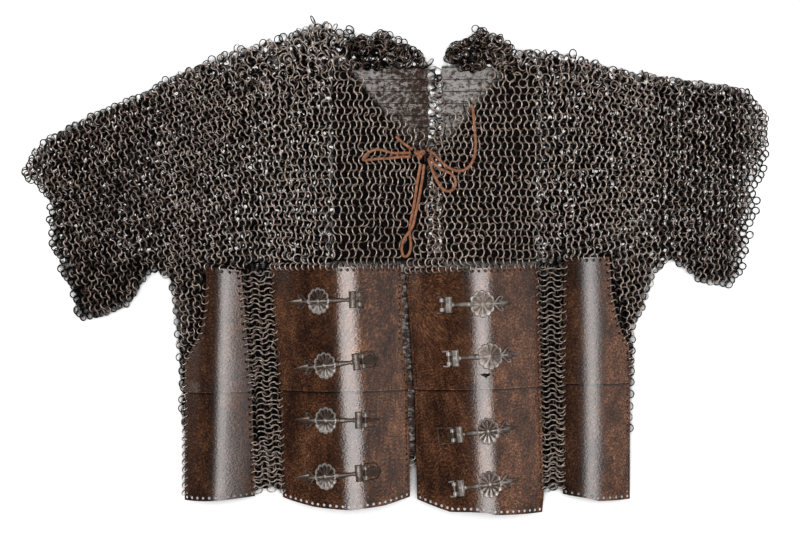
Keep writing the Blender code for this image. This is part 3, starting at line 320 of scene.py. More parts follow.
def ring_rows(side, middle, low, high, bend, start, stop, pitch, spacing, shift=0.0):
    """Ring places in rows along a half of the shirt, with each row's direction."""
    runs = np.linspace(0, 0.60, 1201)
    share = np.clip((runs - start) / (stop - start), 0, 1)
    share = share * share * (3 - 2 * share)
    angle = np.radians(bend) * share
    fall = np.cumsum(np.tan(angle)) * (runs[1] - runs[0])
    step = (pitch[0] + (pitch[1] - pitch[0]) * share) * np.cos(angle)
    count = np.cumsum(1 / step) * (runs[1] - runs[0])
    close = 1 + (spacing[1] / spacing[0] - 1) * share
    places = []
    for row, level in enumerate(np.arange(low, high, spacing[0])):
        order = np.arange(0.5 * (row % 2) + shift, count[-1], 1.0)
        run = np.interp(order, count, runs)
        turn = np.interp(run, runs, angle)
        y = 0.15 + (level - 0.15) * np.interp(run, runs, close) - np.interp(run, runs, fall)
        places.append(np.column_stack([
            middle + side * run, y, side * np.cos(turn), -np.sin(turn),
            np.interp(run, runs, share), np.full(len(run), row % 2)]))
    return np.concatenate(places)


def sheet_tree(node_name):
    """The faces of a CAD sheet, for rays to meet."""
    mesh = nodes[node_name].data
    return BVHTree.FromPolygons([v.co for v in mesh.vertices],
                                [p.vertices for p in mesh.polygons])


def look_down(tree, x, y):
    """The place and the normal where a ray from above meets a sheet, or None twice."""
    return tree.ray_cast(Vector((x, y, 1)), Vector((0, 0, -1)))[:2]


def drape(places, node_name, depth, lean, wander, inset=0.0035):
    """Rings over a CAD sheet: their middles, turns, heights in the sheet and sizes."""
    tree = sheet_tree(node_name)
    kept = []
    for x, y, ax, ay, share, odd in places:
        sway = noise.noise_vector(Vector((x * 9, y * 9, 3.7))) * wander
        sway += noise.noise_vector(Vector((x * 31, y * 31, 9.1))) * wander * 0.55
        x, y = x + sway.x, y + sway.y
        hit = look_down(tree, x, y)
        near, around = ([look_down(tree, x + dx, y + dy)
                         for dx, dy in ((step, 0), (-step, 0), (0, step), (0, -step))]
                        for step in (inset, 0.011))
        if any(spot[0] is None for spot in [hit] + near):
            continue
        around = [spot for spot in around if spot[0] is not None] + [hit]
        height = sum(spot[0].z for spot in around) / len(around)
        normal = sum((spot[1] for spot in around), Vector()).normalized()
        kept.append((x, y, height - depth, *normal, ax, ay, share, odd))
    kept = np.array(kept)
    count = len(kept)
    up = kept[:, 3:6]
    along = np.column_stack([kept[:, 6:8], np.zeros(count)])
    along -= up * np.sum(along * up, 1)[:, None]
    along /= np.linalg.norm(along, axis=1)[:, None]
    across = np.cross(up, along)
    angle = lean[0] + (lean[1] - lean[0]) * kept[:, 8]
    loose = 1 + 2.2 * np.clip((kept[:, 1] - 0.225) / 0.05, 0, 1)
    tilt = np.radians(angle + rng.normal(0, 9, count) * loose)
    tilt *= np.where(kept[:, 9] > 0.5, 1, -1)
    nod = np.radians(rng.normal(0, 10, count) * loose)
    axis = up * np.cos(tilt)[:, None] + along * np.sin(tilt)[:, None]
    axis += across * np.sin(nod)[:, None]
    axis /= np.linalg.norm(axis, axis=1)[:, None]
    first = along - axis * np.sum(along * axis, 1)[:, None]
    first /= np.linalg.norm(first, axis=1)[:, None]
    second = np.cross(axis, first)
    spin = rng.uniform(0, math.tau, count)
    a = first * np.cos(spin)[:, None] + second * np.sin(spin)[:, None]
    b = np.cross(axis, a)
    middle = kept[:, 0:3] + (rng.normal(0, 1, (count, 3)) * (0.0006, 0.0006, 0.0004)
                             * loose[:, None])
    size = (1 - 0.22 * kept[:, 8]) * rng.normal(1, 0.02, count)
    return middle, a, b, axis, up, size


def pick(rings, choice):
    """The chosen ones of a set of rings."""
    return tuple(part[choice] for part in rings)


# The size of loose rings and of those that tie the plates, against the chest's
small_ring = 0.78


def ring_piece(name, rings, *node_names, wear_and_shade=0.43, spread=0.06, wire=1.0):
    """One mesh of many copies of the ring, one at each place."""
    middle, a, b, axis, up, size = rings
    count = len(middle)
    shape = (ring_core[None] * size[:, None, None]
             + ring_skin[None] * wire * size[:, None, None] ** 0.4)
    offset = (shape[:, :, 0:1] * a[:, None, :] + shape[:, :, 1:2] * b[:, None, :]
              + shape[:, :, 2:3] * axis[:, None, :])
    high = np.sum(offset * up[:, None, :], 2) / 0.0046
    points = middle[:, None, :] + offset
    sunk = np.minimum(points[:, :, 2].min(axis=1) - 0.0002, 0)
    points[:, :, 2] -= sunk[:, None]
    points = points.reshape(-1, 3)
    faces = ring_faces[None] + (np.arange(count) * len(ring_points))[:, None, None]
    faces = faces.reshape(-1, 4)
    mesh = bpy.data.meshes.new(name)
    mesh.vertices.add(len(points))
    mesh.vertices.foreach_set("co", points.ravel())
    mesh.loops.add(faces.size)
    mesh.loops.foreach_set("vertex_index", faces.ravel().astype(np.int32))
    mesh.polygons.add(len(faces))
    mesh.polygons.foreach_set("loop_start", np.arange(0, faces.size, 4, dtype=np.int32))
    mesh.update(calc_edges=True)
    mesh.attributes.new("raised", "FLOAT", "POINT")
    # Wear and painted light: rings are painted lighter where they stand up, a painted highlight as
    # much as wear, and darker below as painted shade
    high = wear_and_shade + 0.46 * high + rng.normal(0, spread, count)[:, None]
    mesh.attributes["raised"].data.foreach_set("value", high.ravel())
    mesh.shade_smooth()
    mesh.materials.append(iron)
    piece = bpy.data.objects.new(name, mesh)
    bpy.context.scene.collection.objects.link(piece)
    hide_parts(*node_names)
    return piece


# Each half: the line of its strip of mail, how far out from it the back's cuff starts,
# how high rings stay off the sheet's ragged rim, the wear and painted light of chest,
# shoulder and sleeve (a lower value paints the rings darker, partly as painted shade),
# and its rows of rings.
halves = {
    "left": {"seam": -0.1804, "cuff": 0.225, "underarm": 0.085, "wear_and_shade": (0.53, 0.40, 0.31),
             "rows": {"side": -1, "middle": 0.0545, "low": -0.19, "high": 0.40, "bend": 20,
                      "start": 0.13, "stop": 0.33, "pitch": (0.0083, 0.0088),
                      "spacing": (0.0098, 0.0074)}},
    "right": {"seam": 0.2125, "cuff": 0.25, "underarm": 0.165, "wear_and_shade": (0.63, 0.56, 0.38),
              "rows": {"side": 1, "middle": 0.0060, "low": -0.19, "high": 0.40, "bend": 7,
                       "start": 0.20, "stop": 0.38, "pitch": (0.0090, 0.0090),
                       "spacing": (0.0093, 0.0072)}}}
waist_top, waist_low = 0.108, 0.006
for half, field in halves.items():
    side, seam = field["rows"]["side"], field["seam"]
    front, back = "mail_front_" + half, "mail_back_" + half
    rings = drape(ring_rows(**field["rows"]), front, 0.0022, (48, 30), 0.0040)
    tree = sheet_tree(front)
    open_cuff = np.array([
        (x - seam) * side > 0.16 and y < field["underarm"]
        and look_down(tree, x + side * 0.018, y)[0] is None for x, y in rings[0][:, :2]])
    rings = pick(rings, ~open_cuff)
    out, y = (rings[0][:, 0] - seam) * side, rings[0][:, 1]
    chest, low, sleeve = out < 0, y < waist_top, out > 0.14
    wear_and_shade = field["wear_and_shade"]
    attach(ring_piece("mail_chest_" + half, pick(rings, chest & ~low), front,
                       wear_and_shade=wear_and_shade[0]), "shirt")
    waist = ring_piece("mail_waist_" + half, pick(rings, chest & low), front, wear_and_shade=wear_and_shade[0])
    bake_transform(waist)
    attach(ring_piece("mail_shoulder_" + half, pick(rings, ~chest & ~sleeve), front,
                       wear_and_shade=wear_and_shade[1]), "shirt")
    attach(ring_piece("mail_sleeve_" + half, pick(rings, sleeve), front, wear_and_shade=wear_and_shade[2]),
            "shirt")
    back_rows = ring_rows(**{**field["rows"], "low": -0.29}, shift=0.3)
    backs = drape(back_rows, back, 0.0009, (19, 24), 0.0060, 0.001)
    out, y = (backs[0][:, 0] - seam) * side, backs[0][:, 1]
    outer, cuff, upper = out > 0.10, out > field["cuff"], y > 0.02
    # The back layer's rings are painted near black, a painted shade under the front layer
    for part, choice, look in (
            ("mail_back_sleeve_", outer & ~cuff, {"wear_and_shade": 0.0, "spread": 0.16}),
            ("mail_cuff_", cuff, {"wear_and_shade": 0.08, "wire": 1.3}),
            ("mail_back_top_", ~outer & upper, {"wear_and_shade": 0.0, "spread": 0.16}),
            ("mail_back_flank_", ~outer & ~upper, {"wear_and_shade": 0.0, "spread": 0.16})):
        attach(ring_piece(part + half, pick(backs, choice), back, **look), "shirt")


def upright_rows(left, right, high, low, spacing, pitch):
    """Ring places in rows that run down the shirt, for the narrow pieces."""
    places = []
    for row, x in enumerate(np.arange(left, right, spacing)):
        for y in np.arange(high - 0.5 * pitch * (row % 2), low, -pitch):
            places.append((x, y, 0.0, -1.0, 0.0, row % 2))
    return np.array(places)


def tumble(places, least, most):
    """Loose rings at these places, turned every way and tipped by an angle between."""
    count = len(places)
    turn = rng.uniform(0, math.tau, count)
    tip = np.radians(rng.uniform(least, most, count))
    axis = np.column_stack([np.sin(tip) * np.cos(turn), np.sin(tip) * np.sin(turn),
                            np.cos(tip)])
    first = np.cross(axis, np.column_stack([np.cos(turn), np.sin(turn), np.zeros(count)]))
    first /= np.linalg.norm(first, axis=1)[:, None]
    return (places, first, np.cross(axis, first), axis, np.tile((0.0, 0, 1), (count, 1)),
            np.full(count, small_ring))


# Mail of the strips between the plates, of the spine and the hem, in rows that run
# down the shirt. A strip's middle line slopes, and its lowest rings hang loose.
row_spacing = 0.0094
for half, middle, slope, reach in (("left", -0.1881, -0.0562, 0.0141),
                                   ("right", 0.2124, -0.0115, 0.0094)):
    seam, inward = halves[half]["seam"], -0.014 * halves[half]["rows"]["side"]
    rows, hem = (upright_rows(-reach, reach + 0.001, high, low, row_spacing, pitch)
                 for high, low, pitch in ((0.006, -0.320, 0.0072), (-0.262, -0.302, 0.0082)))
    for lines in (rows, hem):
        lines[:, 0] += middle + slope * lines[:, 1]
    rings = drape(rows, "mail_strip_" + half, 0.0024, (47, 47), 0.0018, 0.0002)
    strip = ring_piece("strip_rings_" + half, rings, "mail_strip_" + half, wear_and_shade=0.48)
    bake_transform(strip)
    loose = tumble(hem[:, :3], 15, 50)
    loose[0][:, 2] = rng.uniform(0.0028, 0.0042, len(hem))
    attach(ring_piece("hem_rings_" + half, loose, wear_and_shade=0.2), "shirt")
rows = upright_rows(-0.09, 0.20, 0.335, -0.30, row_spacing, 0.0086)
for name, inset in (("mail_spine", 0.001), ("mail_hem", 0.001), ("mail_neck_link", 0.0001)):
    rings = drape(rows, name, 0.0009, (19, 19), 0.0008, inset)
    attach(ring_piece(name + "_rings", rings, name), "shirt")

# The collar lies crumpled in a heap at each side of the neck, its rings turned every
# way and piled on each other, thinner towards the edges of the heap.
heaps = {
    "collar_left": (200, (-0.066, -0.048, -0.036, -0.021, -0.007, 0.012, 0.028, 0.041),
                    (0.312, 0.313, 0.309, 0.319, 0.316, 0.307, 0.293, 0.281),
                    (0.270, 0.270, 0.270, 0.270, 0.271, 0.272, 0.272, 0.273)),
    "collar_right": (175, (0.067, 0.073, 0.078, 0.102, 0.108, 0.118, 0.128, 0.144, 0.160),
                     (0.280, 0.290, 0.305, 0.306, 0.325, 0.323, 0.314, 0.312, 0.297),
                     (0.272, 0.271, 0.270, 0.267, 0.266, 0.265, 0.264, 0.264, 0.264))}
for name, (number, across, tops, feet) in heaps.items():
    heap_tree, chest_tree = (sheet_tree(under)
                             for under in (name, name.replace("collar", "mail_front")))
    places = []
    while len(places) < number:
        x = rng.uniform(across[0], across[-1])
        y = rng.uniform(min(feet), max(tops))
        if not np.interp(x, across, feet) < y < np.interp(x, across, tops):
            continue
        heap_top, chest_top = look_down(heap_tree, x, y)[0], look_down(chest_tree, x, y)[0]
        top = heap_top.z - 0.002 if heap_top else 0.0085
        foot = chest_top.z - 0.001 if chest_top and not heap_top else 0.0045
        places.append((x, y, rng.uniform(foot, max(top, foot + 0.0025))))
    heap = tumble(np.array(places), 5, 52)
    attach(ring_piece(name + "_heap", heap, name, wear_and_shade=0.17), "shirt")

# The front plates: four bent iron sheets, each an upper and a lower piece that
# overlap at the seam, with a row of holes along the rims through which rings tie
# them to the mail. They are cut flat, sliced, bent over a cylinder and dented.
russet, tree, metal = start_material("plate_iron")
place = add_node(tree, "TexCoord").outputs["Object"]
stretch = add_node(tree, "Mapping", {"Vector": place, "Scale": (1.0, 0.55, 1.0)})
blotch = add_noise(tree, stretch.outputs["Vector"], scale=28, detail=9, roughness=0.68)
pits = add_noise(tree, place, scale=420, detail=5)
mixed = add_node(tree, "Mix", {"Factor": 0.45, "A": blotch, "B": pits}).outputs["Result"]
colour = add_ramp(tree, mixed, (0.40, (0.017, 0.0065, 0.004, 1)),
                  (0.51, (0.088, 0.034, 0.0165, 1)), (0.63, (0.24, 0.108, 0.054, 1)))
flecks = add_ramp(tree, add_noise(tree, place, scale=430, detail=4),
                  (0.48, (0.74, 0.72, 0.70, 1)), (0.68, (1.7, 1.75, 1.8, 1)))
# Painted light and shade per vertex: a painted shadow on the lower piece under the seam, a painted
# highlight along the upper piece's lower edge, and a painted sheen that lightens each plate
# towards its right side
painted_light_and_shade = add_node(tree, "Attribute", attribute_name="painted_light_and_shade").outputs["Color"]
for layer in (flecks, painted_light_and_shade):
    colour = add_node(tree, "Mix", {"Factor": 1.0, "A": colour, "B": layer},
                      data_type="RGBA", blend_type="MULTIPLY").outputs["Result"]
wax = add_range(tree, mixed, start=0.38, stop=0.62, least=0.15, most=0.08)
dull = add_node(tree, "Attribute", attribute_name="dull").outputs["Fac"]
ground = add_math(tree, "ADD", add_noise(tree, place, scale=330, detail=5), mixed)
pitted = add_node(tree, "Bump", {"Strength": 0.30, "Distance": 0.0005, "Height": ground})
plug(tree, metal, {
    "Base Color": colour, "Metallic": 0.08, "Roughness": add_math(tree, "ADD", wax, dull),
    "IOR": 1.85, "Normal": pitted.outputs["Normal"]})

sheet, seam_gap = 0.0012, 0.0003
hole_inset = 0.0042
plates = {
    "plate_left": {
        "body": "front_left", "crown": (-0.0010, 0), "painted_side_light": (1.35, 2.1), "dull": 0.01,
        "centre": (-0.07256, -0.15658), "slant": 2.4,
        "radius": 0.145, "size": (0.190, 0.326), "reach": 1.04,
        "upper": ((-1.0, 0.98), (0.99, 0.93), (0.95, 0.27), (1.035, -0.09),
                  (-0.94, -0.045), (-0.955, 0.32)),
        "lower": ((-0.935, -0.045), (1.03, -0.09), (0.985, -0.985), (0.55, -1.03),
                  (0.07, -1.045), (-0.45, -1.01), (-0.97, -0.945)),
        "hem": (2, 6), "lower_edges": ((6, 7),), "lower_slit": ((1, 2),),
        "upper_edges": ((5, 6), (4, 5)), "upper_slit": ((1, 2), (2, 3)),
        "seam": (3, 4)},
    "plate_right": {
        "body": "front_right", "crown": (0.0010, 0), "painted_side_light": (1.6, 2.4), "dull": 0.04,
        "centre": (0.11140, -0.16733), "slant": 1.9,
        "radius": 0.145, "size": (0.190, 0.326), "reach": 1.04,
        "upper": ((-1.03, 1.01), (0.99, 1.01), (0.995, 0.01), (-0.945, 0.02)),
        "lower": ((-0.945, 0.02), (0.995, 0.01), (0.98, -0.91), (0.94, -1.04),
                  (0.18, -1.02), (0.08, -1.0), (-0.16, -0.99), (-0.45, -0.99),
                  (-0.97, -0.90)),
        "hem": (3, 8), "lower_edges": ((1, 2),), "lower_slit": ((8, 9),),
        "upper_edges": ((1, 2),), "upper_slit": ((3, 4),), "seam": (2, 3)},
    "side_plate_left": {
        "body": "shirt", "crown": (-0.0028, -0.0008), "painted_side_light": (1.05, 1.3), "dull": 0.10,
        "centre": (-0.23553, -0.15927), "slant": -1.5,
        "radius": 0.085, "size": (0.100, 0.326), "reach": 1.10,
        "upper": ((-0.50, 0.97), (0.48, 0.945), (0.86, -0.06), (-1.06, -0.08),
                  (-1.07, 0.17), (-0.79, 0.31), (-0.56, 0.44), (-0.45, 0.65),
                  (-0.43, 0.87)),
        "lower": ((-1.055, -0.08), (0.865, -0.06), (1.07, -0.935), (0.05, -0.965),
                  (-0.97, -0.98)),
        "hem": (2, 4), "lower_edges": ((1, 2), (4, 5)), "lower_slit": (),
        "upper_edges": ((1, 2), (3, 8)), "upper_slit": (), "seam": (2, 3)},
    "side_plate_right": {
        "body": "shirt", "crown": (-0.0002, 0.0018), "painted_side_light": (1.05, 2.4), "dull": 0.10,
        "centre": (0.27345, -0.15389), "slant": 0.5,
        "radius": 0.085, "size": (0.100, 0.326), "reach": 1.05,
        "upper": ((-0.86, 1.015), (0.36, 1.02), (0.42, 0.745), (0.52, 0.58),
                  (0.71, 0.39), (0.93, 0.29), (1.0, 0.19), (1.0, -0.03),
                  (-0.96, -0.03)),
        "lower": ((-0.96, -0.03), (1.0, -0.03), (0.96, -1.0), (0.0, -1.005),
                  (-0.30, -0.98), (-0.98, -0.955)),
        "hem": (2, 5), "lower_edges": ((5, 6),), "lower_slit": ((1, 2),),
        "upper_edges": ((8, 9), (1, 7)), "upper_slit": (), "seam": (7, 8)},
}


def bend(plate, across, along, height, dents=1):
    """A place on a bent plate, a height above its inner face, with shallow dents."""
    radius = plate["radius"]
    edge = plate["size"][0] / 2 * plate["reach"] / radius
    crest = radius - (radius - sheet - seam_gap) * math.cos(edge) + 0.0052
    angle = across / radius
    x, z = (radius + height) * math.sin(angle), (radius + height) * math.cos(angle)
    turn = math.radians(plate["slant"])
    x, y = (x * math.cos(turn) - along * math.sin(turn),
            x * math.sin(turn) + along * math.cos(turn))
    x, y, z = plate["centre"][0] + x, plate["centre"][1] + y, z - radius + crest
    share = across / plate["size"][0] * math.tau
    z += plate["crown"][0] * math.sin(share) - plate["crown"][1] * (1 + math.cos(share)) / 2
    z += 0.00040 * dents * noise.noise(Vector((x * 22, y * 14, 1.3)))
    return Vector((x, y, z))


def rim_places(points, first, last, pitch, trim):
    """Evenly spaced hole places inside the edges of an outline."""
    corners = [Vector(points[step % len(points)]) for step in range(first, last + 1)]
    lengths = [(b - a).length for a, b in zip(corners, corners[1:])]
    start, stop = hole_inset + trim, sum(lengths) - hole_inset - trim
    count = max(int((stop - start) / pitch), 1)
    places = []
    for step in range(count + 1):
        run = start + (stop - start) * step / count
        for (a, b), length in zip(zip(corners, corners[1:]), lengths):
            if run <= length or b is corners[-1]:
                along = (b - a).normalized()
                out = Vector((-along.y, along.x))
                places.append((a + along * run - out * hole_inset, out))
                break
            run -= length
    return places


def cut_flat(outline, holes, thickness):
    """A flat sheet with a rounded rim and drilled holes, as a mesh object."""
    bpy.ops.curve.primitive_bezier_circle_add()
    blank = bpy.context.object
    flat = blank.data
    flat.dimensions = "2D"
    flat.fill_mode = "BOTH"
    flat.extrude = thickness / 2 - 0.0002
    flat.bevel_depth = 0.0002
    flat.bevel_resolution = 0
    flat.offset = -0.0002
    flat.splines.remove(flat.splines[0])
    for points in [outline] + holes:
        run = flat.splines.new("POLY")
        run.points.add(len(points) - 1)
        for spot, (x, y) in zip(run.points, points):
            spot.co = (x, y, 0, 1)
        run.use_cyclic_u = True
    bpy.ops.object.convert(target="MESH")
    return bpy.context.object


rims = []
for name, plate in plates.items():
    half = Vector((plate["size"][0] / 2, plate["size"][1] / 2))
    for level, height in (("upper", sheet / 2), ("lower", -sheet / 2 - seam_gap)):
        shares = plate[level]
        if level == "lower":
            shares = [(x, y + 0.010 / half.y * (step < 2)) for step, (x, y)
                      in enumerate(shares)]
        outline = [(x * half.x, y * half.y) for x, y in shares]
        rows = [(0, 1, 0.0082, 0)] if level == "upper" else [(*plate["hem"], 0.0082, 0)]
        rows += [(*pair, 0.0098, 0.0060) for pair in plate[level + "_edges"]]
        rows += [(*pair, 0.0078, 0.0060) for pair in plate[level + "_slit"]]
        tied = 1 + len(plate[level + "_edges"])
        holes = []
        for number, row in enumerate(rows):
            for spot, out in rim_places(outline, *row):
                size = 0.0019 + 0.0003 * noise.noise(Vector((*spot * 90, 4)))
                size *= 1 if number < tied else 0.66
                holes.append([(spot.x + size * math.cos(k * math.tau / 9),
                               spot.y + size * math.sin(k * math.tau / 9))
                              for k in range(9)])
                if number < tied and (level == "upper" or number > 0):
                    rims.append((plate, spot, out, height))
        if name == "plate_right" and level == "upper":
            centre = (0.11 * half.x, 0.126 * half.y)
            ragged = ((-0.5, 0.35), (-0.28, 0.30), (-0.15, 0.5), (0.05, 0.36), (0.2, 0.38),
                      (0.5, 0.48), (0.42, 0.0), (0.18, -0.12), (0.06, -0.5), (-0.05, -0.2),
                      (-0.16, -0.1), (-0.36, 0.08))
            holes.append([(centre[0] + x * 0.014, centre[1] + y * 0.007)
                          for x, y in ragged])
        piece = cut_flat(outline, holes, sheet)
        piece.name = name + "_" + level + "_sheet"
        shape = bmesh.new()
        shape.from_mesh(piece.data)
        first, last = (Vector((plate["upper"][k][0] * half.x, plate["upper"][k][1] * half.y))
                       for k in plate["seam"])
        fall = (last - first).orthogonal().normalized()
        fall *= 1 if fall.y > 0 else -1
        for away in (-0.0045, -0.0020, -0.0008, 0.0010, 0.0018):
            bmesh.ops.bisect_plane(
                shape, geom=shape.verts[:] + shape.edges[:] + shape.faces[:], dist=0.00001,
                plane_co=(*(first + fall * away), 0), plane_no=(*fall, 0))
        for axis, step in ((0, 0.005), (1, 0.012)):
            normal = Vector((0, 0, 0))
            normal[axis] = 1
            reach = half[axis] * 1.1
            for spot in np.arange(-reach, reach, step):
                bmesh.ops.bisect_plane(
                    shape, geom=shape.verts[:] + shape.edges[:] + shape.faces[:],
                    plane_co=normal * spot, plane_no=normal, dist=0.00001)
        painted_light_and_shade = shape.verts.layers.float.new("painted_light_and_shade")
        dull = shape.verts.layers.float.new("dull")
        for vert in shape.verts:
            above = (vert.co.xy - first).dot(fall)
            lip = 0.0008 * max(0, 1 - above / 0.014) if level == "upper" else 0
            # Painted highlight along the upper piece's lower edge; painted shadow on the lower
            # piece where the upper one overlaps it
            if level == "upper":
                vert[painted_light_and_shade] = 1.0 + 2.2 * max(0, 1 - above / 0.0012)
            else:
                vert[painted_light_and_shade] = min(1, max(0.05, (-above - 0.0006) / 0.0040))
            # Painted sheen: the plate is painted lighter towards its right side, as if lit from
            # the right
            side = min(max(vert.co.x / half.x / 0.35, 0), 1)
            left, right = plate["painted_side_light"]
            vert[painted_light_and_shade] *= left + (right - left) * side * side * (3 - 2 * side)
            vert[dull] = plate["dull"]
            vert.co = bend(plate, vert.co.x, vert.co.y, height + vert.co.z + lip)
        bmesh.ops.remove_doubles(shape, verts=shape.verts, dist=0.00001)
        bmesh.ops.recalc_face_normals(shape, faces=shape.faces)
        shape.to_mesh(piece.data)
        shape.free()
        bpy.ops.object.shade_smooth_by_angle(angle=math.radians(32))
        piece.data.materials.append(russet)
        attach(piece, plate["body"])
        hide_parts(name + "_" + level)

# Rings that tie the plates to the mail: one through each hole of the top rims and of
# the edges, half of it above the plate, hung over the rim and turned a little.
for body in ("front_left", "front_right", "shirt"):
    middle, a, b, axis, up = [], [], [], [], []
    for plate, spot, out, height in rims:
        if plate["body"] != body:
            continue
        place = spot + out * 0.0044
        centre = bend(plate, place.x, place.y, height)
        away = (bend(plate, place.x + out.x * 0.001, place.y + out.y * 0.001, height)
                - centre).normalized()
        above = (bend(plate, place.x, place.y, height + 0.001) - centre).normalized()
        beside = away.cross(above)
        turn = math.radians(rng.normal(46, 14))
        normal = beside * math.cos(turn) + above * math.sin(turn)
        middle.append(centre)
        a.append(away)
        b.append(normal.cross(away))
        axis.append(normal)
        up.append(above)
    size = np.full(len(middle), small_ring)
    links = tuple(np.array(part) for part in (middle, a, b, axis, up, size))
    names = [name + "_upper" for name, plate in plates.items() if plate["body"] == body]
    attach(ring_piece("link_rings_" + body, links, *names), body)

# Buckles: a rosette of twelve hollowed lobes with raised rims, a spear point with two
# curled hooks, a stem, a riveted strap box and the knuckles of the bar. Each is built
# flat once for its own length and then bent onto its plate.
worn_iron, tree, metal = start_material("buckle_iron")
wear_and_light = add_node(tree, "Group", {"Scale": 150, "Detail": 8, "Share": 0.45},
                node_tree=edge_wear_and_light).outputs["WearAndLight"]
plug(tree, metal, {
    "Base Color": add_ramp(tree, wear_and_light, (0.30, (0.050, 0.022, 0.013, 1)),
                           (0.60, (0.15, 0.105, 0.080, 1)), (0.88, (0.78, 0.71, 0.66, 1))),
    "Metallic": 0.30, "Roughness": 0.30})


def flat_run(points, radius, taper=0):
    """A thin bar along points: straight stretches, or a tapering curve, as a mesh."""
    round_bar(points, radius, "NURBS" if taper else "POLY", between=3, sides=1, taper=taper)
    bpy.ops.object.convert(target="MESH")
    return bpy.context.object


def rounded_block(size, centre, width):
    """A block with rounded edges."""
    bpy.ops.mesh.primitive_cube_add(size=1, location=centre, scale=size)
    bpy.ops.object.transform_apply(location=False, rotation=False, scale=True)
    block = bpy.context.object
    soft = block.modifiers.new("soft", "BEVEL")
    soft.width = width
    soft.segments = 2
    bpy.ops.object.modifier_apply(modifier="soft")
    return block


def spike(sides, radii, root, tip, height, flat):
    """A flattened cone along the buckle, from its root to its tip."""
    turn = math.copysign(math.pi / 2, tip - root)
    bpy.ops.mesh.primitive_cone_add(vertices=sides, radius1=radii[0], radius2=radii[1],
                                    depth=abs(tip - root), rotation=(0, turn, 0),
                                    location=((root + tip) / 2, 0, height))
    bpy.ops.object.transform_apply(location=False, rotation=True, scale=False)
    bpy.context.object.scale = (1, 1, flat)
    return bpy.context.object


def bead(radius, centre, scale):
    """A bead or a rivet head, squeezed to scale."""
    bpy.ops.mesh.primitive_uv_sphere_add(segments=12, ring_count=8, radius=radius,
                                         location=centre)
    bpy.context.object.scale = scale
    return bpy.context.object


def knuckle(length, centre=(0, 0, 0)):
    """A barrel round the bar."""
    bpy.ops.mesh.primitive_cylinder_add(vertices=14, radius=0.0027, depth=length,
                                        location=centre, rotation=(math.pi / 2, 0, 0))
    return bpy.context.object


def join_parts(parts, name, material):
    """One named mesh object from the parts, in one material."""
    bpy.ops.object.select_all(action="DESELECT")
    for part in parts:
        part.select_set(True)
    bpy.context.view_layer.objects.active = parts[0]
    if len(parts) > 1:
        bpy.ops.object.join()
    bpy.ops.object.transform_apply()
    whole = bpy.context.object
    whole.name = name
    whole.data.materials.clear()
    whole.data.materials.append(material)
    return whole


def rosette(length, width, height, crisp):
    """A polar grid lifted into lobes: hollow inside, high along their borders, with painted
    highlights on the rims and the lower lobes.
    """
    bpy.ops.mesh.primitive_circle_add(vertices=96, radius=1, fill_type="TRIFAN")
    disc = bpy.context.object
    shape = bmesh.new()
    shape.from_mesh(disc.data)
    spokes = [edge for edge in shape.edges if not edge.is_boundary]
    bmesh.ops.subdivide_edges(shape, edges=spokes, cuts=13)
    raised = shape.verts.layers.float.new("raised")
    for vert in shape.verts:
        reach = vert.co.xy.length
        angle = math.atan2(vert.co.y, vert.co.x)
        lobe = abs(math.cos(6 * angle))
        rim = 0.86 + 0.14 * math.sqrt(lobe)
        border = max(math.exp(-((0.94 - reach) / 0.09) ** 2),
                     math.exp(-(lobe / 0.30) ** 2) * min(1, reach / 0.5))
        boss = math.exp(-(reach / 0.17) ** 2)
        spine = math.exp(-(vert.co.y / 0.07) ** 2) * (1 - boss)
        hollow = math.sin(min(reach, 1) * math.pi) * 0.5
        lift = 0.34 - 0.25 * hollow * lobe + 0.62 * border * reach + 0.6 * boss + 0.35 * spine
        lift = crisp * lift + (1 - crisp) * (0.75 - 0.25 * reach ** 3)
        lift *= 1 - 0.9 * max(0, (reach - 0.985) / 0.015)
        # Painted highlights: glint brightens the rims, dividers, boss and spine, and the lower
        # lobes are painted lighter as if lit from above
        glint = max(math.exp(-((0.92 - reach) / 0.085) ** 2), 0.7 * boss, 0.6 * spine,
                    0.5 * math.exp(-(lobe / 0.25) ** 2) * min(1, reach / 0.5))
        painted_lobe_light = lobe * min(1, reach / 0.5) * max(0, 0.3 - math.sin(angle))
        vert[raised] = (0.13 + 0.80 * glint * crisp + 0.45 * painted_lobe_light * crisp * (1 - glint)
                        + 0.26 * (1 - crisp))
        vert.co = (vert.co.x * rim * length / 2, vert.co.y * rim * width / 2, lift * height)
    shape.to_mesh(disc.data)
    shape.free()
    return disc


# Each buckle: its plate, its place in shares of half the plate, its tilt in degrees, its
# bar's distance in shares of bar_reach, the form of its frame and the share of that
# frame that is left, its tongue, and how crisp the forging still is.
buckles = {
    "left_1": ("plate_left", (-0.255, 0.680), 0.0, 1.25, "broken", 0.36, None, 1),
    "left_2": ("plate_left", (-0.200, 0.150), 4.5, 1.16, "round", 1.0, "leaf", 1),
    "left_3": ("plate_left", (-0.225, -0.300), -2.0, 1.22, "broken", 0.78, "spike", 1),
    "left_4": ("plate_left", (-0.260, -0.760), 3.0, 1.24, "round", 1.0, "leaf", 1),
    "right_1": ("plate_right", (0.100, 0.715), 0.0, 1.24, "broken", 0.34, None, 0.25),
    "right_2": ("plate_right", (0.185, 0.285), -2.0, 1.27, "rusted", 0.36, None, 0.25),
    "right_3": ("plate_right", (0.120, -0.330), -5.0, 1.09, "square", 1.0, "stub", 0.6),
    "right_4": ("plate_right", (0.125, -0.765), -6.0, 1.10, "rusted", 0.30, None, 0.4)}
bar_reach, bar_radius, bar_height = 0.043, 0.0011, 0.0030
frame_reach, frame_half = 0.0215, 0.0109


def buckle_seat(name):
    """A buckle's plate, the way it points, its middle and its height on the plate."""
    plate_name, shares = buckles[name][:2]
    plate = plates[plate_name]
    centre = (shares[0] * plate["size"][0] / 2, shares[1] * plate["size"][1] / 2)
    return (plate, -1 if "right" in name else 1, centre,
            0 if shares[1] < 0 else sheet + seam_gap)


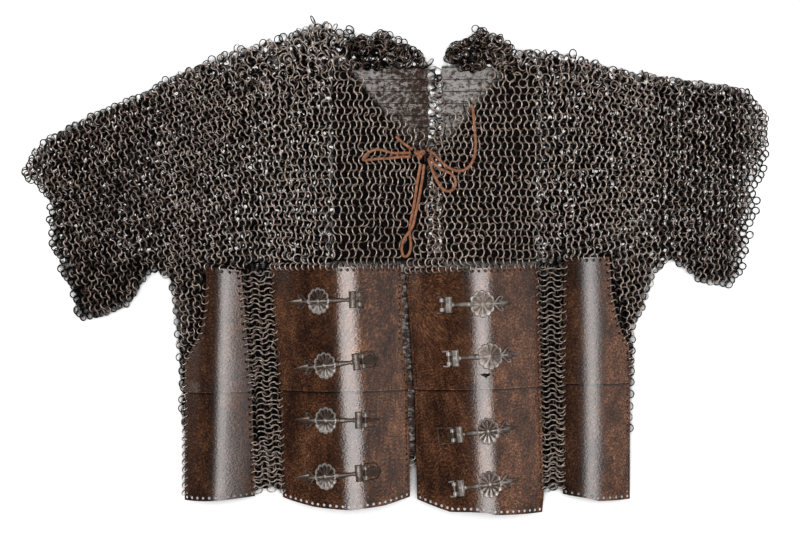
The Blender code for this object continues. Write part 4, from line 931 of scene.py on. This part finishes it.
for name, (_, _, tilt, bar_share, kind, left, _, crisp) in buckles.items():
    plate, side, centre, level = buckle_seat(name)
    bar = bar_share * bar_reach
    box_end = bar - 0.0033
    stem_end = box_end - 0.0100
    parts = [rosette(0.031 + 0.006 * (1 - crisp), 0.037, 0.0026 + 0.0010 * crisp, crisp)]
    for hook in (-1, 1):
        spiral = [(-0.0150, 0.0015, 0.0010), (-0.0185, 0.0035, 0.0012),
                  (-0.0205, 0.0070, 0.0013), (-0.0235, 0.0098, 0.0014),
                  (-0.0268, 0.0092, 0.0014), (-0.0272, 0.0064, 0.0014),
                  (-0.0246, 0.0058, 0.0014)]
        parts.append(flat_run([(x, y * hook, z) for x, y, z in spiral], 0.0014, taper=0.3))
    parts.append(spike(8, (0.0060, 0.0002), -0.0225, -0.0435, 0.0008, 0.30))
    parts.append(flat_run([(-0.0235, 0, 0.0010), (-0.0150, 0, 0.0014)], 0.0022))
    parts.append(spike(10, (0.0042, 0.0020), 0.0130, stem_end, 0.0006, 0.55))
    for place in (0.0170, stem_end - 0.0015):
        parts.append(bead(0.0029, (place, 0, 0.0012), (0.7, 1.15, 0.75)))
    parts.append(rounded_block((0.0100, 0.0225, 0.0014), (box_end - 0.005, 0, 0.0007), 0.0005))
    parts.append(rounded_block((0.0060, 0.0212, 0.0026), (box_end - 0.0052, 0, 0.0016),
                               0.0006))
    parts.append(bead(0.0021, (box_end - 0.0050, 0, 0.0029), (1, 1, 0.55)))
    for place in (-0.0064, 0.0064):
        parts.append(knuckle(0.0046, (bar, place, bar_height)))
        parts.append(rounded_block((0.0045, 0.0046, 0.0014), (bar - 0.0022, place, 0.0007),
                                   0.0004))
    if kind == "rusted":
        reach = frame_reach * left
        parts.append(flat_run([(bar, -0.0110, bar_height), (bar, 0.0110, bar_height)],
                              bar_radius))
        for hand in (-1, 1):
            parts.append(flat_run([(bar, hand * 0.0100, 0.0029),
                                   (bar + reach * 0.6, hand * 0.0101, 0.0028),
                                   (bar + reach, hand * 0.0096, 0.0027)], bar_radius))
    base = join_parts(parts, "buckle_" + name + "_iron", worn_iron)
    # The other parts are painted lighter the higher they stand: wear and a painted highlight
    for spot, vert in zip(base.data.attributes["raised"].data, base.data.vertices):
        spot.value = spot.value or (0.14 + 0.16 * (1 - crisp)
                                    + 0.36 * min(max(vert.co.z / 0.0036, 0), 1))
    turn = math.radians(tilt)
    for vert in base.data.vertices:
        x, y, z = vert.co
        vert.co = bend(plate, centre[0] + side * (x * math.cos(turn) - y * math.sin(turn)),
                       centre[1] + x * math.sin(turn) + y * math.cos(turn),
                       level + z)
    shape = bmesh.new()
    shape.from_mesh(base.data)
    bmesh.ops.recalc_face_normals(shape, faces=shape.faces)
    shape.to_mesh(base.data)
    shape.free()
    bpy.ops.object.shade_smooth_by_angle(angle=math.radians(40))
    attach(base, plate["body"])
    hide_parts("buckle_" + name)

# The buckles' frames and tongues, each turning on its bar: forged bars with rounded
# edges, laid down so that the tip of the frame rests on the plate.
def bar_place(plate, centre, tilt, bar, side, height, reach):
    """The place of a frame: its origin on the bar and its length towards the tip."""
    turn = math.radians(tilt)
    across = centre[0] + side * bar * math.cos(turn)
    along = centre[1] + bar * math.sin(turn)
    origin = bend(plate, across, along, height + bar_height, 0)
    tangent = (bend(plate, across + 0.0001, along, height + bar_height, 0) - origin).normalized()
    up = (bend(plate, across, along, height + bar_height + 0.0001, 0)
          - origin).normalized()
    outward = side * tangent * math.cos(turn) + up.cross(tangent) * math.sin(turn)
    clear = bar_height + 0.0003 - 0.0010 + reach * reach / 2 / plate["radius"]
    droop = math.atan((clear - 0.0006) / reach)
    outward, up = (outward * math.cos(droop) - up * math.sin(droop),
                   up * math.cos(droop) + outward * math.sin(droop))
    place = Matrix((outward, up.cross(outward), up)).transposed().to_4x4()
    place.translation = origin
    return place


for name, (_, _, tilt, bar_share, kind, left, tongue, _) in buckles.items():
    if kind == "rusted":
        continue
    plate, side, centre, level = buckle_seat(name)
    reach = frame_reach * left
    lie = bar_place(plate, centre, tilt, bar_share * bar_reach, side, level, reach)
    if kind == "round":
        bend_start = reach - 0.0085
        curve = [(bend_start + 0.0075 * math.sin(step * math.pi / 12),
                  frame_half * math.cos(step * math.pi / 12)) for step in range(1, 12)]
        runs = [[(0, frame_half), (bend_start, frame_half), *curve,
                 (bend_start, -frame_half), (0, -frame_half)]]
    elif kind == "square":
        corners = [(0, 0.0102), (reach * 0.45, 0.0102), (reach - 0.0009, 0.0113)]
        runs = [corners + [(x, -y) for x, y in reversed(corners)]]
    else:
        runs = [[(0, 0.0109), (reach * 0.7, 0.0110), (reach, 0.0104)],
                [(0, -0.0109), (reach * 0.6, -0.0110), (reach * 0.86, -0.0104)]]
    parts = [flat_run([(x, y, 0) for x, y in run], 0.00105) for run in runs]
    parts.append(flat_run([(0, -frame_half, 0), (0, frame_half, 0)], bar_radius))
    iron_frame = join_parts(parts, "frame_" + name + "_iron", worn_iron)
    # Wear and painted highlight: the frame is painted lighter on its upper side
    iron_frame.data.attributes.new("raised", "FLOAT", "POINT")
    iron_frame.data.attributes["raised"].data.foreach_set(
        "value", [0.26 + 160 * v.co.z for v in iron_frame.data.vertices])
    iron_frame.data.transform(lie)
    bpy.ops.object.shade_smooth_by_angle(angle=math.radians(60))
    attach(iron_frame, "frame_" + name)
    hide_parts("frame_" + name)
    if not tongue:
        continue
    if tongue == "leaf":
        edge = [(0.0010, 0.0028), (reach * 0.25, 0.0056), (reach * 0.6, 0.00625),
                (reach * 0.80, 0.0052), (reach * 0.95, 0.0030), (reach * 1.02, 0.0012)]
    elif tongue == "spike":
        edge = [(0.0010, 0.0025), (reach * 0.4, 0.00245), (reach * 1.2, 0.00105)]
    else:
        edge = [(0.0010, 0.0028), (reach * 0.16, 0.0047), (reach * 0.34, 0.0044)]
    outline = edge + [(x, -y) for x, y in reversed(edge)]
    blade = cut_flat(outline, [], 0.0012)
    for vert in blade.data.vertices:
        vert.co.z += 0.0019 + 0.0004 * (1 - abs(vert.co.y) / 0.0063)
    blade = join_parts([blade, knuckle(0.0070)], "tongue_" + name + "_iron",
                       worn_iron)
    # Wear and painted highlight: the tongue's top is painted lighter towards its edges
    blade.data.attributes.new("raised", "FLOAT", "POINT")
    blade.data.attributes["raised"].data.foreach_set(
        "value", [0.12 + 30 * abs(v.co.y) * (v.co.z > 0.0015)
                  for v in blade.data.vertices])
    blade.data.transform(lie)
    bpy.ops.object.shade_smooth_by_angle(angle=math.radians(40))
    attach(blade, "tongue_" + name)
    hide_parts("tongue_" + name)

# The back lames: iron strips that lap like shingles, each a thin bent sheet with its
# upper edge under the one above and small rivets near its ends.
lame_pitch = 0.0165
dull_iron, tree, metal = start_material("lame_iron")
place = add_node(tree, "TexCoord").outputs["Object"]
apart = add_node(tree, "SeparateXYZ", {"Vector": place}).outputs
stretch = add_node(tree, "Mapping", {"Vector": place, "Scale": (0.8, 1.0, 1.0)})
blotch = add_noise(tree, stretch.outputs["Vector"], scale=190, detail=12, roughness=0.78)

# The first column gets darker towards the spine, and the second one is lighter
toward_spine = add_range(tree, apart["X"], start=-0.04, stop=0.035, least=0.05, most=-0.05)
other_half = add_range(tree, apart["X"], start=0.050, stop=0.064, most=0.095)
rust = add_math(tree, "ADD", add_math(tree, "ADD", blotch, toward_spine), other_half)
bare = add_ramp(tree, rust, (0.45, (0.050, 0.018, 0.009, 1)),
                (0.50, (0.17, 0.13, 0.11, 1)), (0.57, (0.64, 0.61, 0.58, 1)))

# Painted shade: the iron is painted near black under the chest's mail and along each
# lap; what stays bare is the neck, whose sides slope to the slit, and what lies below the chest
neck_half = add_math(tree, "MULTIPLY_ADD", apart["Y"], 0.85, -0.1207)
beside = add_math(tree, "ABSOLUTE", add_math(tree, "SUBTRACT", apart["X"], 0.045))
neck = add_range(tree, add_math(tree, "SUBTRACT", neck_half, beside),
                 start=-0.004, stop=0.006)
below_chest = add_range(tree, apart["Y"], start=0.008, stop=0.002)
uncovered = add_math(tree, "MAXIMUM", neck, below_chest)
lap = add_math(tree, "FLOORED_MODULO", add_math(tree, "SUBTRACT", 0.2722, apart["Y"]),
               lame_pitch)
unshaded = add_math(tree, "MULTIPLY",
                 add_range(tree, lap, start=0.0003, stop=0.0018, least=0.05), uncovered)
shaded = add_node(tree, "Mix", {"Factor": unshaded, "A": (0.015, 0.012, 0.010, 1), "B": bare},
                  data_type="RGBA")
pitted = add_node(tree, "Bump", {"Strength": 1.0, "Distance": 0.0010, "Height": blotch})
plug(tree, metal, {
    "Base Color": shaded.outputs["Result"], "Metallic": 0.2, "Specular IOR Level": 0.35,
    "Roughness": add_range(tree, unshaded, least=1.0, most=0.38),
    "Normal": pitted.outputs["Normal"]})

for name in nodes:
    if not name.startswith("lames"):
        continue
    low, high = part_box(name)
    parts = []
    for lame in range(8):
        head = high[1] - lame * lame_pitch
        middle = ((low[0] + high[0]) / 2, head - 0.0085, 0.0011 + low[2])
        skew = math.radians(rng.normal(0, 0.35))
        bpy.ops.mesh.primitive_grid_add(x_subdivisions=14, y_subdivisions=3, size=1,
                                        location=middle,
                                        rotation=(math.radians(3.2), 0, skew))
        band = bpy.context.object
        band.scale = (high[0] - low[0] - 0.001, 0.0180, 1)
        thick = band.modifiers.new("thick", "SOLIDIFY")
        thick.thickness = 0.0009
        bpy.ops.object.modifier_apply(modifier="thick")
        parts.append(band)
        for end in (low[0] + 0.007, high[0] - 0.007):
            bpy.ops.mesh.primitive_uv_sphere_add(segments=8, ring_count=5, radius=0.0021,
                                                 location=(end, head - 0.0135, 0.0022),
                                                 scale=(1, 1, 0.5))
            parts.append(bpy.context.object)
    bands = join_parts(parts, name + "_bands", dull_iron)
    for vert in bands.data.vertices:
        vert.co.z += 0.0005 * noise.noise(vert.co * 35)
        vert.co.z = max(vert.co.z, 0.0001)
    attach(bands, "shirt")
    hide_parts(name)
